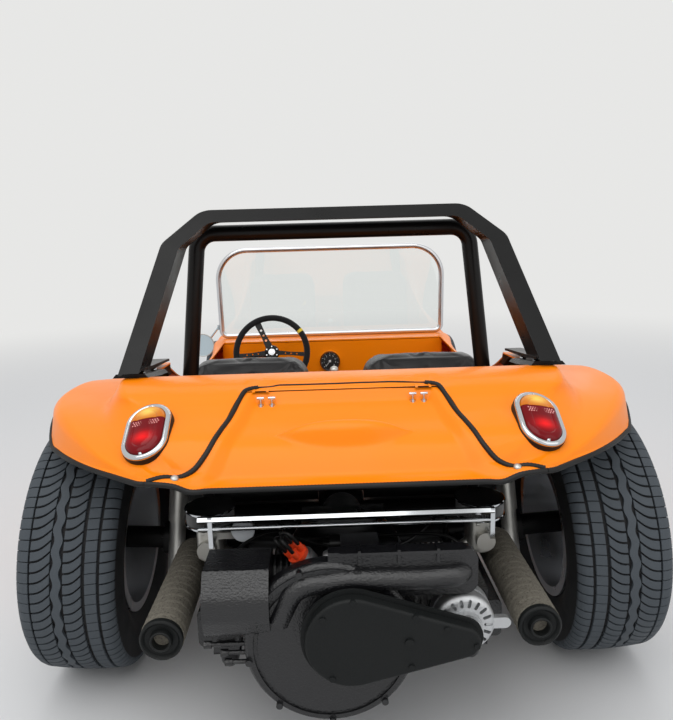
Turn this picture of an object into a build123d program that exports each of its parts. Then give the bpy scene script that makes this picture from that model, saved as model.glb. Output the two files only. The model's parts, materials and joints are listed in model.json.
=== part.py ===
from build123d import *
import math
import os
from collections import namedtuple

# Open two-seat dune buggy on a shortened rear-engined floorpan.
# Units are millimetres. +Y is forward, +X is the vehicle's right, +Z is up.
# The origin is on the floor, half way between the axles.

# Driving dimensions
WHEELBASE = 2040.0
REAR_TRACK = 1350.0
FRONT_TRACK = 1240.0
REAR_TYRE_R = 345.0
REAR_TYRE_W = 236.0
FRONT_TYRE_R = 292.0
FRONT_TYRE_W = 165.0
CAMBER = 3.0  # degrees, the rear wheels lean in at the top
TREAD_CROWN_R = 900.0
TREAD_SHOULDER_R = 30.0
RIM_R = 190.0
REAR_REACH = 620.0  # rear axle to the back of the belt cover
FRONT_REACH = 620.0  # front axle to the front of the bumper
BODY_WALL = 6.0
SEAM = 3.0  # gap round the engine lid
SEAT_GAP = 0.3  # between neighbouring pieces that sit on each other
FIT = 0.05  # radial clearance of a shaft in its bore

# Places worked out from them
REAR_Y = -WHEELBASE / 2
FRONT_Y = WHEELBASE / 2
CAMBER_RAD = math.radians(CAMBER)
REAR_Z = TREAD_CROWN_R + (REAR_TYRE_R - TREAD_CROWN_R) * math.cos(CAMBER_RAD)
FRONT_Z = FRONT_TYRE_R
REAR_X = REAR_TRACK / 2
FRONT_X = FRONT_TRACK / 2
GEAR_Z = REAR_Z - REAR_X * math.tan(CAMBER_RAD)

# Floor and chassis
PAN_HALF_W = 500.0
PAN_Z = 205.0
PAN_T = 25.0
PAN_TOP = PAN_Z + PAN_T
PAN_REAR_DY = 280.0  # from the rear axle
PAN_FRONT_DY = -330.0  # from the front axle
TUNNEL_HALF_W = 75.0
TUNNEL_H = 140.0
TUNNEL_ROUND = 30.0
TORSION_R = 36.0
TORSION_HALF_L = 440.0
TORSION_Z = 290.0
TORSION_DY = PAN_REAR_DY - TORSION_R - 4.0
BULKHEAD_DY = PAN_REAR_DY + 10.0  # front face of the wall behind the seats
SILL_DY = 400.0  # where the sill floors start

# Arches: cylinders about the axles, open outwards from these half widths
REAR_ARCH_R = REAR_TYRE_R + 45.0
FRONT_ARCH_SHIFT = 20.0  # the steered tyre reaches further fore and aft than up
# Inboard of the king pin only the steered tyre's edge reaches, so the arch narrows there
FRONT_ARCH_STEPS = [(390.0, 240.0), (425.0, 262.0), (510.0, 304.0), (600.0, 312.0)]
REAR_WELL_X = 520.0
ARCH_REACH_X = 900.0

# Wheels
BEAD_SHARE = 0.40  # half the rim's width as a share of the tyre's
RIM_FLANGE_T = 6.0
RIM_FLANGE_H = 12.0
RIM_WALL = 12.0
DISC_INSET = 46.0
DISC_T = 12.0
DRUM_R = 122.0
DRUM_WALL = 8.0
DRUM_L = 46.0
RIM_SLOTS = 8
SLOT_RING_R = 146.0
SLOT_L = 34.0
SLOT_W = 46.0

# Hubs, spindles and steering
HUB_R = 34.0
HUB_GAP = 4.0  # hub to brake plate
SPINDLE_R = 17.5
KING_OFFSET = 60.0
KING_X = FRONT_X - KING_OFFSET
KING_R = 9.0
KNUCKLE_R = 20.0
KNUCKLE_HALF_H = 50.0
KING_YOKE_H = 22.0
KING_ARM_R = 9.5
STEER_ARM = 110.0
STEER_PIN_R = 6.0
STEER_ARM_T = 12.0
ROD_Z = FRONT_Z - 62.0
ROD_R = 8.0
ROD_EYE_R = 13.0
ROD_EYE_H = 20.0
WHEEL_CENTRE = (-280.0, REAR_Y + 1200.0, 656.0)  # steering wheel
WHEEL_R = 175.0
GRIP_R = 14.0
BOX_POINT = (-280.0, FRONT_Y, 318.0)  # where the column meets the steering box
COLUMN_R = 19.0
COLUMN_BORE_R = 11.0
COLUMN_START = 45.0  # from the wheel's middle

ARM_Z = FRONT_Z - 40.0
ARM_SHAFT_R = 10.0
BOX_R = 30.0
BOX_HALF_H = 34.0
OPEN_PIVOT_GAP = 1.0
PLATE_T = 4.0
PLATE_GAP = 6.0  # brake plate to drum

# Front beam, from the front axle
BEAM_DY = 110.0
BEAM_R = 26.0
BEAM_RISE = 62.0
BEAM_HALF_L = 372.0

# Rear carriers, from the rear axle
HORN_X = 176.0
HORN_ROOT_X = 90.0
HORN_BEND_DY = 60.0
HORN_TIP_DY = -140.0
HORN_DROP = 70.0  # under the gearbox's middle
HORN_R = 24.0
TOWER_R = 18.0
SHOCK_TOP_X = 432.0
SHOCK_TOP_Z = 590.0
SHOCK_LOW_X = 470.0
SHOCK_LOW_Z = 262.0
SHOCK_DY = -50.0
AXLE_FLANGE_IN = 190.0  # from the wheel's middle
AXLE_FLANGE_R = 48.0
AXLE_FLANGE_T = 22.0

# Engine, from the rear axle
ENGINE_Z = GEAR_Z + 50.0
CASE_HALF_W = 135.0
CASE_FRONT_DY = -170.0
CASE_REAR_DY = -520.0
CASE_TOP = ENGINE_Z + 75.0
CASE_LOW = ENGINE_Z - 110.0
SUMP_LOW = ENGINE_Z - 140.0
HEAD_X = 244.0
ROCKER_X = 300.0
ROCKER_T = 34.0
CYLINDER_R = 50.0
FIN_R = 66.0
FIN_T = 4.0
FIN_PITCH = 14.0
FIN_COUNT = 7
CYLINDER_DYS = (-270.0, -410.0)
HEAD_FRONT_DY = -200.0
HEAD_REAR_DY = -480.0
HEAD_TOP = ENGINE_Z + 54.0
HEAD_LOW = ENGINE_Z - 74.0
FAN_PLACE = (-44.0, 346.0)
FAN_R = 180.0
FAN_T = 36.0
FAN_RIM = 10.0
SHROUD_TOP = 545.0
DUCT_R = 22.0
DUCT_TURN_R = 60.0
TIN_X = (-302.0, -172.0)
COVER_PLACE = (0.0, 384.0)
COVER_R = 104.0
COVER_TIP = (222.0, 376.0)
COVER_TIP_R = 42.0
COVER_FLANGE_T = 7.0
COVER_STEP = 9.0  # flange width outside the raised face
COVER_T = 34.0
COVER_SCREWS = [(2, 474), (-58, 440), (-42, 310), (116, 330), (125, 438), (187, 410), (246, 370)]
SPACER_R = 88.0
ALTERNATOR_PLACE = (236.0, 376.0)
ALTERNATOR_R = 64.0
ALTERNATOR_SLOTS = 18
CARB_X = 322.0
CARB_DY = -300.0
CARB_HALF = 32.0
CARB_LOW = 432.0
CARB_TOP = 510.0
LEG_X = 284.0
LEG_R = 15.0
FILTER_R = 60.0
FILTER_H = 44.0
BAR_DY = -374.0
BAR_LOW_Z = 526.0
BAR_HIGH_Z = 548.0
DIST_R = 22.0
DIST_CAP_R = 29.0
DIST_LEAN = (-0.52, -0.28, 0.80)
DIST_FOOT = (-72.0, -448.0)
DIST_TIP = 92.0
COIL_R = 22.0
COIL_DY = -330.0
LEAD_R = 4.0
LEAD_DY = -320.0
LEAD_Z = 500.0
PLUG_X = 252.0
PLUG_PLACES = [(-1, -236.0), (-1, -422.0), (1, -422.0), (1, -236.0)]
MUFFLER_X = 392.0
MUFFLER_Z = 368.0
MUFFLER_R = 46.0
HEADER_R = 19.0
HEADER_X = 272.0

# Cockpit
SEAT_X = 305.0
SEAT_W = 424.0
SEAT_BASE_Z = 250.0
SEAT_TOP_Z = 765.0
SEAT_ROUND = 80.0
HOOP_DY = 330.0
HOOP_R = 25.0
HOOP_FOOT_X = 480.0
HOOP_TOP_X = 424.0
HOOP_TOP_Z = 1190.0
ARCH_FOOT = (544.0, REAR_Y - 200.0, 853.0)
ARCH_KNEE = (487.0, REAR_Y + 110.0, 1165.0)
ARCH_TOP = (385.0, REAR_Y + 200.0, 1257.0)
ARCH_T = 50.0
ARCH_DEPTH = 120.0
ARCH_ROUND = 60.0
COWL_Z = 664.0
SCREEN_DY = 1600.0
SCREEN_R = 13.0
SCREEN_HALF_W = 561.0
SCREEN_TOP_Z = 1110.0
SCREEN_ROUND = 150.0
SCREEN_LOW_ROUND = 30.0
SCREEN_LEAN = 0.08
GLASS_T = 5.0
DASH_T = 22.0
DASH_LOW_Z = 470.0
DASH_HALF_W = 540.0
GAUGE_PLACE = (-15.0, 560.0)
GAUGE_R = 50.0
MIRROR_PLACE = (-664.0, REAR_Y + 1595.0, 634.0)
MIRROR_R = 58.0

# Lamps
LAMP_X = 505.0
LAMP_Y = FRONT_Y + 386.0
LAMP_Z = 468.0
LAMP_R = 82.0
TAIL_PLACE = (430.0, -395.0, 768.0)  # y from the rear axle
TAIL_FACE = (0.25, -0.80, 0.55)
TAIL_TALL = (0.10, 0.55, 0.83)
TAIL_L = 156.0
TAIL_W = 102.0
TAIL_BASE = 16.0
BOSS_DY = -405.0
BOSS_Z = 752.0
BOSS_TILT = 34.0

# Bumper
BUMPER_R = 19.0
BUMPER_HALF_W = 420.0
BUMPER_Z0 = 300.0
BUMPER_Z1 = 410.0
BRACKET_X = 190.0
EYE_T = 10.0
EYE_R = 9.0

# Lid hinge
LID_HINGE_DY = -258.0
LID_HINGE_Z = 848.0
HINGE_PIN_R = 2.5
HINGE_XS = (-190.0, 190.0)

# Body sections: y from the named axle, then the half profile's corners from the deck's edge
# to the valley beside it, the crest of the fender and the lip, each with x, z and its round
Station = namedtuple(
    "Station",
    "axle dy x_deck z_deck r_deck x_valley z_valley r_valley x_crest z_crest r_crest x_lip z_lip",
)
BODY_STATIONS = [
    Station(REAR_Y, -525, 300, 694, 20, 340, 688, 20, 372, 684, 6, 385, 668),
    Station(REAR_Y, -450, 380, 735, 40, 440, 714, 30, 482, 706, 12, 500, 668),
    Station(REAR_Y, -360, 440, 782, 60, 520, 744, 40, 585, 736, 20, 604, 670),
    Station(REAR_Y, -270, 500, 830, 40, 562, 767, 40, 658, 758, 30, 680, 672),
    Station(REAR_Y, -200, 536, 856, 16, 574, 778, 30, 702, 770, 30, 724, 672),
    Station(REAR_Y, -110, 536, 848, 16, 578, 784, 30, 738, 778, 30, 760, 640),
    Station(REAR_Y, 20, 538, 836, 16, 582, 788, 30, 748, 782, 30, 769, 560),
    Station(REAR_Y, 190, 548, 816, 16, 586, 768, 30, 724, 756, 34, 752, 420),
    Station(REAR_Y, 400, 560, 730, 16, 584, 640, 60, 636, 590, 60, 662, 228),
    Station(REAR_Y, 700, 560, 670, 16, 572, 560, 60, 590, 480, 60, 606, 228),
    Station(FRONT_Y, -720, 562, 664, 16, 578, 560, 60, 594, 490, 60, 608, 228),
    Station(FRONT_Y, -440, 578, 664, 20, 606, 590, 60, 630, 540, 60, 652, 228),
    Station(FRONT_Y, -220, 470, 640, 30, 530, 590, 60, 650, 585, 50, 690, 260),
    Station(FRONT_Y, 0, 320, 590, 40, 380, 586, 60, 632, 632, 40, 712, 420),
    Station(FRONT_Y, 190, 250, 530, 50, 370, 532, 60, 606, 596, 50, 690, 400),
    Station(FRONT_Y, 350, 220, 462, 40, 350, 470, 60, 560, 546, 50, 626, 372),
    Station(FRONT_Y, 440, 190, 420, 20, 320, 424, 30, 470, 450, 30, 540, 365),
]
# Cockpit opening in plan: half width and y from the rear axle, then the cowl's edge
COCKPIT_OUTLINE = [(498, -160), (498, 160), (532, 300)]
COCKPIT_FRONT_DY = -590.0  # from the front axle

# Lid outline in plan, x and y from the rear axle, on the right-hand side from the hinge edge
LID_OUTLINE = [(228, -258), (243, -300), (268, -400), (300, -462), (350, -492), (430, -500)]


def axis_box(x0, x1, y0, y1, z0, z1):
    """A box between two corners."""
    box = Box(x1 - x0, y1 - y0, z1 - z0)
    return box.moved(Location(((x0 + x1) / 2, (y0 + y1) / 2, (z0 + z1) / 2)))


def rod(start, end, radius, inner=0.0):
    """A round bar, or a tube, from one point to another."""
    a = Vector(*start)
    b = Vector(*end)
    plane = Plane(origin=a, z_dir=b - a)
    length = (b - a).length
    bar = extrude(plane * Circle(radius), length)
    if inner:
        bar = bar - extrude(plane * Circle(inner), length)
    return bar


def bent_tube(points, radius, bend):
    """A round bar along straight runs joined by arcs."""
    path = FilletPolyline(*points, radius=bend)
    plane = Plane(origin=points[0], z_dir=Vector(*points[1]) - Vector(*points[0]))
    return sweep(plane * Circle(radius), path=path)


def tube_loop(low, high, radius, low_bend, high_bend):
    """A closed loop of round bar from its right-hand low and high corners, the same on both sides."""
    half = [(0, low[1], low[2]), low, high, (0, high[1], high[2])]
    return fused(both_sides(bent_tube(half, radius, [low_bend, high_bend])))


def turned(profile, centre, direction):
    """A solid turned about an axis through centre, from (along, radius) corners."""
    along = Vector(*direction).normalized()
    side = along.cross(Vector(0, 1, 0))
    if side.length < 0.5:
        side = along.cross(Vector(0, 0, 1))
    out = side.normalized()
    points = [Vector(*centre) + along * a + out * r for a, r in profile]
    face = make_face(Polyline(*points, close=True))
    return revolve(face, Axis(centre, along), 360)


def bolt_ring(centre, direction, ring_r, bolt_r, length, count):
    """A ring of bolts along a direction."""
    plane = Plane(origin=centre, z_dir=direction)
    return [
        plane * Rot(0, 0, i * 360.0 / count) * Pos(ring_r, 0, length / 2) * Cylinder(bolt_r, length)
        for i in range(count)
    ]


def both_sides(shape):
    """A shape and its mirror image across the middle of the vehicle."""
    return [shape, mirror(shape, Plane.YZ)]


def fused(*shapes):
    """One shape from several that touch."""
    flat = []
    for shape in shapes:
        flat.extend(shape if isinstance(shape, (list, tuple)) else [shape])
    total = flat[0]
    for shape in flat[1:]:
        total = total + shape
    return total


def section_wire(station, wall, drop):
    """One closed body section, drawn in by the wall and lengthened down by the drop."""
    y = station.axle + station.dy
    right = [
        (station.x_deck - wall, station.z_deck - wall, station.r_deck),
        (station.x_valley - wall, station.z_valley - wall, station.r_valley),
        (station.x_crest - wall, station.z_crest - wall, station.r_crest),
        (station.x_lip - wall, station.z_lip - drop, 0.0),
    ]
    corners = right + [(-x, z, r) for x, z, r in reversed(right)]
    points = [(x, y, z) for x, z, r in corners]
    radii = [r for x, z, r in corners]
    return FilletPolyline(*points, radius=radii, close=True)


def body_form(wall, drop):
    """The outer form of the body, drawn in by a wall and open below by a drop."""
    sections = []
    for station in BODY_STATIONS:
        moved = station
        if station is BODY_STATIONS[0]:
            moved = station._replace(dy=station.dy + wall)
        if station is BODY_STATIONS[-1]:
            moved = station._replace(dy=station.dy - wall)
        sections.append(make_face(section_wire(moved, wall, drop)))
    return loft(sections)


def rear_arch(side, wall):
    """The space of a rear wheel arch, grown by a wall."""
    inner = side * (REAR_WELL_X - wall)
    return rod((inner, REAR_Y, REAR_Z), (side * ARCH_REACH_X, REAR_Y, REAR_Z), REAR_ARCH_R + wall)


def front_arch(side, wall):
    """The space of a front wheel arch, longer fore and aft than it is high."""
    (x0, r0), *steps = FRONT_ARCH_STEPS
    profile = [(x0 - wall, 0.0), (x0 - wall, r0 + wall)]
    profile += [(x, r + wall) for x, r in steps]
    profile += [(ARCH_REACH_X, steps[-1][1] + wall), (ARCH_REACH_X, 0.0)]
    ring = turned(profile, (0, FRONT_Y, FRONT_Z), (side, 0, 0))
    ends = [ring.moved(Location((0, shift, 0))) for shift in (-FRONT_ARCH_SHIFT, FRONT_ARCH_SHIFT)]
    return fused(ends)


def plan_prism(points, z0, height):
    """An upright prism over a plan outline given for the right-hand side."""
    outline = points + [(-x, y) for x, y in reversed(points)]
    face = make_face(Polyline(*[(x, y, z0) for x, y in outline], close=True))
    return extrude(face, height, dir=(0, 0, 1))


def lid_cutter(gap):
    """The prism over the lid's outline, larger all round by a gap."""
    right = [(x + gap, REAR_Y + y) for x, y in LID_OUTLINE]
    right[0] = (right[0][0], right[0][1] + gap)
    right.append((right[-1][0], REAR_Y - 700.0))
    return plan_prism(right, 500.0, 500.0)


def cockpit_cutter():
    """The prism over the cockpit's opening."""
    right = [(x, REAR_Y + y) for x, y in COCKPIT_OUTLINE]
    right.append((COCKPIT_OUTLINE[-1][0], FRONT_Y + COCKPIT_FRONT_DY))
    return plan_prism(right, 560.0, 400.0)


def inner_walls():
    """The sheets inside the body: sill floors, and the bulkheads behind the seats and ahead of the feet."""
    sill_y = (REAR_Y + SILL_DY, FRONT_Y + PAN_FRONT_DY)
    sill = axis_box(PAN_HALF_W - 30, 700, *sill_y, PAN_TOP + SEAT_GAP, PAN_TOP + BODY_WALL)
    wall_y = REAR_Y + BULKHEAD_DY
    shelf_points = [
        (REAR_Y - 190, 852),
        (REAR_Y - 150, 852),
        (wall_y - 40, 560),
        (wall_y, 540),
        (wall_y, PAN_TOP + SEAT_GAP),
        (wall_y - BODY_WALL, PAN_TOP + SEAT_GAP),
        (wall_y - BODY_WALL, 536),
        (wall_y - 44, 555),
        (REAR_Y - 150, 844),
        (REAR_Y - 190, 844),
    ]
    shelf = make_face(Polyline(*[(-700, y, z) for y, z in shelf_points], close=True))
    shelf = extrude(shelf, 1400, dir=(1, 0, 0))
    toe = axis_box(
        -700, 700, FRONT_Y + PAN_FRONT_DY - BODY_WALL, FRONT_Y + PAN_FRONT_DY, PAN_TOP + SEAT_GAP, 720
    )
    return both_sides(sill) + [shelf, toe]


def make_body():
    """The tub with deck, fenders, arches and wells, and the engine lid cut out of it."""
    outer = body_form(0.0, 0.0)
    inner = body_form(BODY_WALL, 60.0)
    skin = outer - inner
    lid = skin & lid_cutter(0.0)
    walls = inner_walls()
    for side in (-1, 1):
        walls.append(rear_arch(side, BODY_WALL))
        walls.append(front_arch(side, BODY_WALL))
    tub = skin - cockpit_cutter() + [wall & outer for wall in walls]
    tunnel_x = TUNNEL_HALF_W + SEAT_GAP
    tunnel = axis_box(-tunnel_x, tunnel_x, REAR_Y, FRONT_Y, PAN_Z, PAN_Z + TUNNEL_H + SEAT_GAP)
    cuts = [lid_cutter(SEAM), tunnel]
    for side in (-1, 1):
        cuts.append(rear_arch(side, 0.0))
        cuts.append(front_arch(side, 0.0))
    cuts.append(rod(WHEEL_CENTRE, BOX_POINT, COLUMN_R + SEAT_GAP))
    for side in (-1, 1):
        x = side * LAMP_X
        cuts.append(rod((x, LAMP_Y - 200, LAMP_Z), (x, LAMP_Y + 200, LAMP_Z), LAMP_R + SEAT_GAP))
    tub = tub - cuts
    return outer, tub, lid


def axis_of(side):
    """The outward spin axis of a rear wheel."""
    return Vector(side * math.cos(CAMBER_RAD), 0, math.sin(CAMBER_RAD))


def along(side, distance):
    """A point on a rear wheel's spin axis, outwards from the wheel's middle."""
    return Vector(side * REAR_X, REAR_Y, REAR_Z) + axis_of(side) * distance


def make_tyre(centre, direction, radius, width, crown_r):
    """One tyre with a crowned tread and rounded shoulders, seated on the rim's beads."""
    out = Vector(*direction).normalized()
    up = out.cross(Vector(0, 1, 0)).normalized()
    if up.Z < 0:
        up = up * -1
    middle = Vector(*centre)

    def at(a, r):
        return middle + out * a + up * r

    tread = width / 2 - TREAD_SHOULDER_R
    shoulder_r = crown_r - math.sqrt(crown_r**2 - tread**2)
    bead = width * BEAD_SHARE
    bead_top = RIM_R + RIM_FLANGE_H + 3
    wall = 12.0
    mid_r = (radius + RIM_R) / 2
    outline = [
        ThreePointArc(at(-tread, radius - shoulder_r), at(0, radius), at(tread, radius - shoulder_r)),
        ThreePointArc(
            at(tread, radius - shoulder_r),
            at(tread + TREAD_SHOULDER_R * 0.72, radius - shoulder_r - TREAD_SHOULDER_R * 0.36),
            at(width / 2, radius - shoulder_r - TREAD_SHOULDER_R * 1.3),
        ),
        ThreePointArc(
            at(width / 2, radius - shoulder_r - TREAD_SHOULDER_R * 1.3),
            at(width / 2 + 2, mid_r - 10),
            at(bead, bead_top),
        ),
        Line(at(bead, bead_top), at(bead, RIM_R)),
        Line(at(bead, RIM_R), at(bead - wall, RIM_R)),
        Polyline(
            at(bead - wall, RIM_R),
            at(width / 2 - 2 * wall, mid_r - 10),
            at(tread, radius - 34),
            at(-tread, radius - 34),
            at(-width / 2 + 2 * wall, mid_r - 10),
            at(-bead + wall, RIM_R),
        ),
        Line(at(-bead + wall, RIM_R), at(-bead, RIM_R)),
        Line(at(-bead, RIM_R), at(-bead, bead_top)),
        ThreePointArc(
            at(-bead, bead_top),
            at(-width / 2 - 2, mid_r - 10),
            at(-width / 2, radius - shoulder_r - TREAD_SHOULDER_R * 1.3),
        ),
        ThreePointArc(
            at(-width / 2, radius - shoulder_r - TREAD_SHOULDER_R * 1.3),
            at(-tread - TREAD_SHOULDER_R * 0.72, radius - shoulder_r - TREAD_SHOULDER_R * 0.36),
            at(-tread, radius - shoulder_r),
        ),
    ]
    face = make_face(outline)
    return revolve(face, Axis(middle, out), 360)


def disc_place(width):
    """Where a wheel's disc stands outwards from the wheel's middle."""
    return width * BEAD_SHARE + RIM_FLANGE_T - DISC_INSET


def plate_place(width):
    """Where the brake plate behind a wheel's drum starts, outwards from the wheel's middle."""
    return disc_place(width) - 4 - DRUM_L - PLATE_GAP - PLATE_T


def make_rim(centre, direction, width):
    """A cast rim with slots round its disc, its hub and the brake drum behind it."""
    half = width * BEAD_SHARE + RIM_FLANGE_T
    disc = disc_place(width)
    hub_end = plate_place(width) + PLATE_T + HUB_GAP
    bore = SPINDLE_R + FIT
    seat = RIM_R - SEAT_GAP
    barrel = [
        (-half, RIM_R - RIM_WALL),
        (-half, RIM_R + RIM_FLANGE_H),
        (-half + RIM_FLANGE_T - SEAT_GAP, RIM_R + RIM_FLANGE_H),
        (-half + RIM_FLANGE_T - SEAT_GAP, seat),
        (half - RIM_FLANGE_T + SEAT_GAP, seat),
        (half - RIM_FLANGE_T + SEAT_GAP, RIM_R + RIM_FLANGE_H),
        (half, RIM_R + RIM_FLANGE_H),
        (half, RIM_R - RIM_WALL),
        (disc + DISC_T + 12, RIM_R - RIM_WALL - 6),
        (disc + DISC_T, RIM_R - RIM_WALL - 22),
        (disc + DISC_T, HUB_R + 24),
        (disc + DISC_T + 20, HUB_R + 6),
        (disc + DISC_T + 20, 0),
        (disc + DISC_T + 12, 0),
        (disc + DISC_T + 12, bore),
        (hub_end, bore),
        (hub_end, HUB_R),
        (disc - 4, HUB_R),
        (disc - 4, DRUM_R - DRUM_WALL),
        (disc - 4 - DRUM_L, DRUM_R - DRUM_WALL),
        (disc - 4 - DRUM_L, DRUM_R),
        (disc, DRUM_R),
        (disc, RIM_R - RIM_WALL - 18),
        (disc - 12, RIM_R - RIM_WALL),
    ]
    wheel = turned(barrel, centre, direction)
    out = Vector(*direction).normalized()
    plane = Plane(origin=Vector(*centre) + out * (disc + 2), z_dir=out)
    slots = []
    for i in range(RIM_SLOTS):
        place = plane * Rot(0, 0, i * 360.0 / RIM_SLOTS) * Pos(SLOT_RING_R, 0)
        slots.append(extrude(place * RectangleRounded(SLOT_L, SLOT_W, 12), DISC_T + 30))
        slots.append(extrude(place * RectangleRounded(SLOT_L, SLOT_W, 12), -4))
    return wheel - slots


def make_wheels():
    """The four tyres and rims by name."""
    nodes = {}
    for side, word in ((-1, "left"), (1, "right")):
        rear_centre = (side * REAR_X, REAR_Y, REAR_Z)
        rear_out = axis_of(side)
        nodes["tyre_rear_" + word] = make_tyre(
            rear_centre, rear_out, REAR_TYRE_R, REAR_TYRE_W, TREAD_CROWN_R
        )
        nodes["rim_rear_" + word] = make_rim(rear_centre, rear_out, REAR_TYRE_W)
        front_centre = (side * FRONT_X, FRONT_Y, FRONT_Z)
        front_out = Vector(side, 0, 0)
        nodes["tyre_front_" + word] = make_tyre(
            front_centre, front_out, FRONT_TYRE_R, FRONT_TYRE_W, TREAD_CROWN_R
        )
        nodes["rim_front_" + word] = make_rim(front_centre, front_out, FRONT_TYRE_W)
    return nodes


def make_floor_pan():
    """The pan with its tunnel, the frame head and the torsion housing with its rear fork."""
    pan_front = FRONT_Y + PAN_FRONT_DY
    pan = axis_box(-PAN_HALF_W, PAN_HALF_W, REAR_Y + PAN_REAR_DY, pan_front, PAN_Z, PAN_TOP)
    torsion_y = REAR_Y + TORSION_DY
    tunnel_end = FRONT_Y + BEAM_DY - BEAM_R - SEAT_GAP
    tunnel = axis_box(-TUNNEL_HALF_W, TUNNEL_HALF_W, torsion_y, tunnel_end, PAN_Z, PAN_Z + TUNNEL_H)
    tunnel = fillet(tunnel.edges().filter_by(Axis.Y).sort_by(Axis.Z)[-2:], TUNNEL_ROUND)
    rod_space = axis_box(-100, 100, pan_front, FRONT_Y + BEAM_DY, PAN_Z - 10, ROD_Z + ROD_R + 8)
    torsion_end = (TORSION_HALF_L, torsion_y, TORSION_Z)
    torsion = rod((-TORSION_HALF_L, torsion_y, TORSION_Z), torsion_end, TORSION_R)
    parts = [pan, tunnel - rod_space, torsion]
    for side in (-1, 1):
        root = (side * HORN_ROOT_X, torsion_y, TORSION_Z)
        bend = (side * HORN_X, REAR_Y + HORN_BEND_DY, GEAR_Z - HORN_DROP)
        tip = (side * HORN_X, REAR_Y + HORN_TIP_DY, GEAR_Z - HORN_DROP)
        parts.append(rod(root, bend, HORN_R))
        parts.append(rod(bend, tip, HORN_R))
        parts.append(Location(bend) * Sphere(HORN_R))
        tower_x = side * (TORSION_HALF_L - 24)
        tower_top = (tower_x, REAR_Y + HORN_BEND_DY, SHOCK_TOP_Z)
        parts.append(rod((tower_x, torsion_y, TORSION_Z), tower_top, TOWER_R))
        parts.append(rod(tower_top, (side * SHOCK_TOP_X, REAR_Y + SHOCK_DY, SHOCK_TOP_Z), 10))
        parts.append(Location(tower_top) * Sphere(TOWER_R))
    return fused(parts)


def make_front_beam():
    """The twin-tube front beam with its towers, trailing arms, yokes, king pins and steering box."""
    beam_y = FRONT_Y + BEAM_DY
    parts = []
    for level in (-1, 1):
        z = FRONT_Z + level * BEAM_RISE
        parts.append(rod((-BEAM_HALF_L, beam_y, z), (BEAM_HALF_L, beam_y, z), BEAM_R))
        for side in (-1, 1):
            x = side * KING_X
            yoke_z = FRONT_Z + level * (KNUCKLE_HALF_H + 1 + KING_YOKE_H / 2)
            half = KING_YOKE_H / 2
            arm_x = side * (BEAM_HALF_L - 20)
            parts.append(rod((arm_x, beam_y, z), (x, FRONT_Y, yoke_z), KING_ARM_R))
            parts.append(rod((x, FRONT_Y, yoke_z - half), (x, FRONT_Y, yoke_z + half), KNUCKLE_R))
    low = FRONT_Z - BEAM_RISE - 20
    high = FRONT_Z + BEAM_RISE + 90
    for side in (-1, 1):
        x = side * KING_X
        reach = KNUCKLE_HALF_H + KING_YOKE_H
        parts.append(rod((x, FRONT_Y, FRONT_Z - reach), (x, FRONT_Y, FRONT_Z + reach), KING_R))
        tower_x = side * (BEAM_HALF_L - 60)
        parts.append(axis_box(tower_x - 12, tower_x + 12, beam_y - 30, beam_y + 30, low, high))
    box_x, box_y, box_z = BOX_POINT
    box = rod((box_x, box_y, box_z - BOX_HALF_H), (box_x, box_y, box_z + BOX_HALF_H), BOX_R)
    strap_z = FRONT_Z + BEAM_RISE
    strap = axis_box(box_x - 16, box_x + 16, box_y, beam_y, strap_z - 16, strap_z + 10)
    bore = rod((box_x, box_y, box_z - 60), (box_x, box_y, box_z + 10), ARM_SHAFT_R + FIT)
    parts.append(box)
    parts.append(strap)
    return fused(parts) - bore


def make_knuckle(side):
    """A steering knuckle: the barrel on its king pin, the spindle and the arm to the track rod."""
    x = side * KING_X
    half = KNUCKLE_HALF_H
    barrel = rod((x, FRONT_Y, FRONT_Z - half), (x, FRONT_Y, FRONT_Z + half), KNUCKLE_R)
    tip = side * (FRONT_X + disc_place(FRONT_TYRE_W) + 8)
    spindle = rod((x, FRONT_Y, FRONT_Z), (tip, FRONT_Y, FRONT_Z), SPINDLE_R)
    plate_x = side * (FRONT_X + plate_place(FRONT_TYRE_W))
    plate = rod((plate_x, FRONT_Y, FRONT_Z), (plate_x + side * PLATE_T, FRONT_Y, FRONT_Z), DRUM_R)
    arm = axis_box(x - 13, x + 13, FRONT_Y - STEER_ARM, FRONT_Y, ARM_Z, ARM_Z + STEER_ARM_T)
    eye = rod((x, FRONT_Y - STEER_ARM, ARM_Z), (x, FRONT_Y - STEER_ARM, ARM_Z + STEER_ARM_T), 13)
    hole = rod((x, FRONT_Y, FRONT_Z - 80), (x, FRONT_Y, FRONT_Z + 80), KING_R + FIT)
    pin_r = STEER_PIN_R + (FIT if side < 0 else OPEN_PIVOT_GAP)
    pin_hole = rod((x, FRONT_Y - STEER_ARM, ARM_Z - 5), (x, FRONT_Y - STEER_ARM, ARM_Z + 30), pin_r)
    return fused(barrel, spindle, plate, arm, eye) - hole - pin_hole


def make_track_rod():
    """The rod between the knuckles, with a pin up into each arm and an eye for the drop arm."""
    y = FRONT_Y - STEER_ARM
    bar = rod((-KING_X, y, ROD_Z), (KING_X, y, ROD_Z), ROD_R)
    top = ARM_Z - 1.0
    parts = [bar]
    for side in (-1, 1):
        parts.append(rod((side * KING_X, y, ROD_Z - ROD_R), (side * KING_X, y, top), ROD_EYE_R))
        parts.append(rod((side * KING_X, y, top), (side * KING_X, y, ARM_Z + STEER_ARM_T), STEER_PIN_R))
    x = BOX_POINT[0]
    parts.append(rod((x, y, ROD_Z - ROD_R), (x, y, top), ROD_EYE_R))
    hole = rod((x, y, ROD_Z - 40), (x, y, ROD_Z + 40), STEER_PIN_R - 1 + OPEN_PIVOT_GAP)
    return fused(parts) - hole


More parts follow.
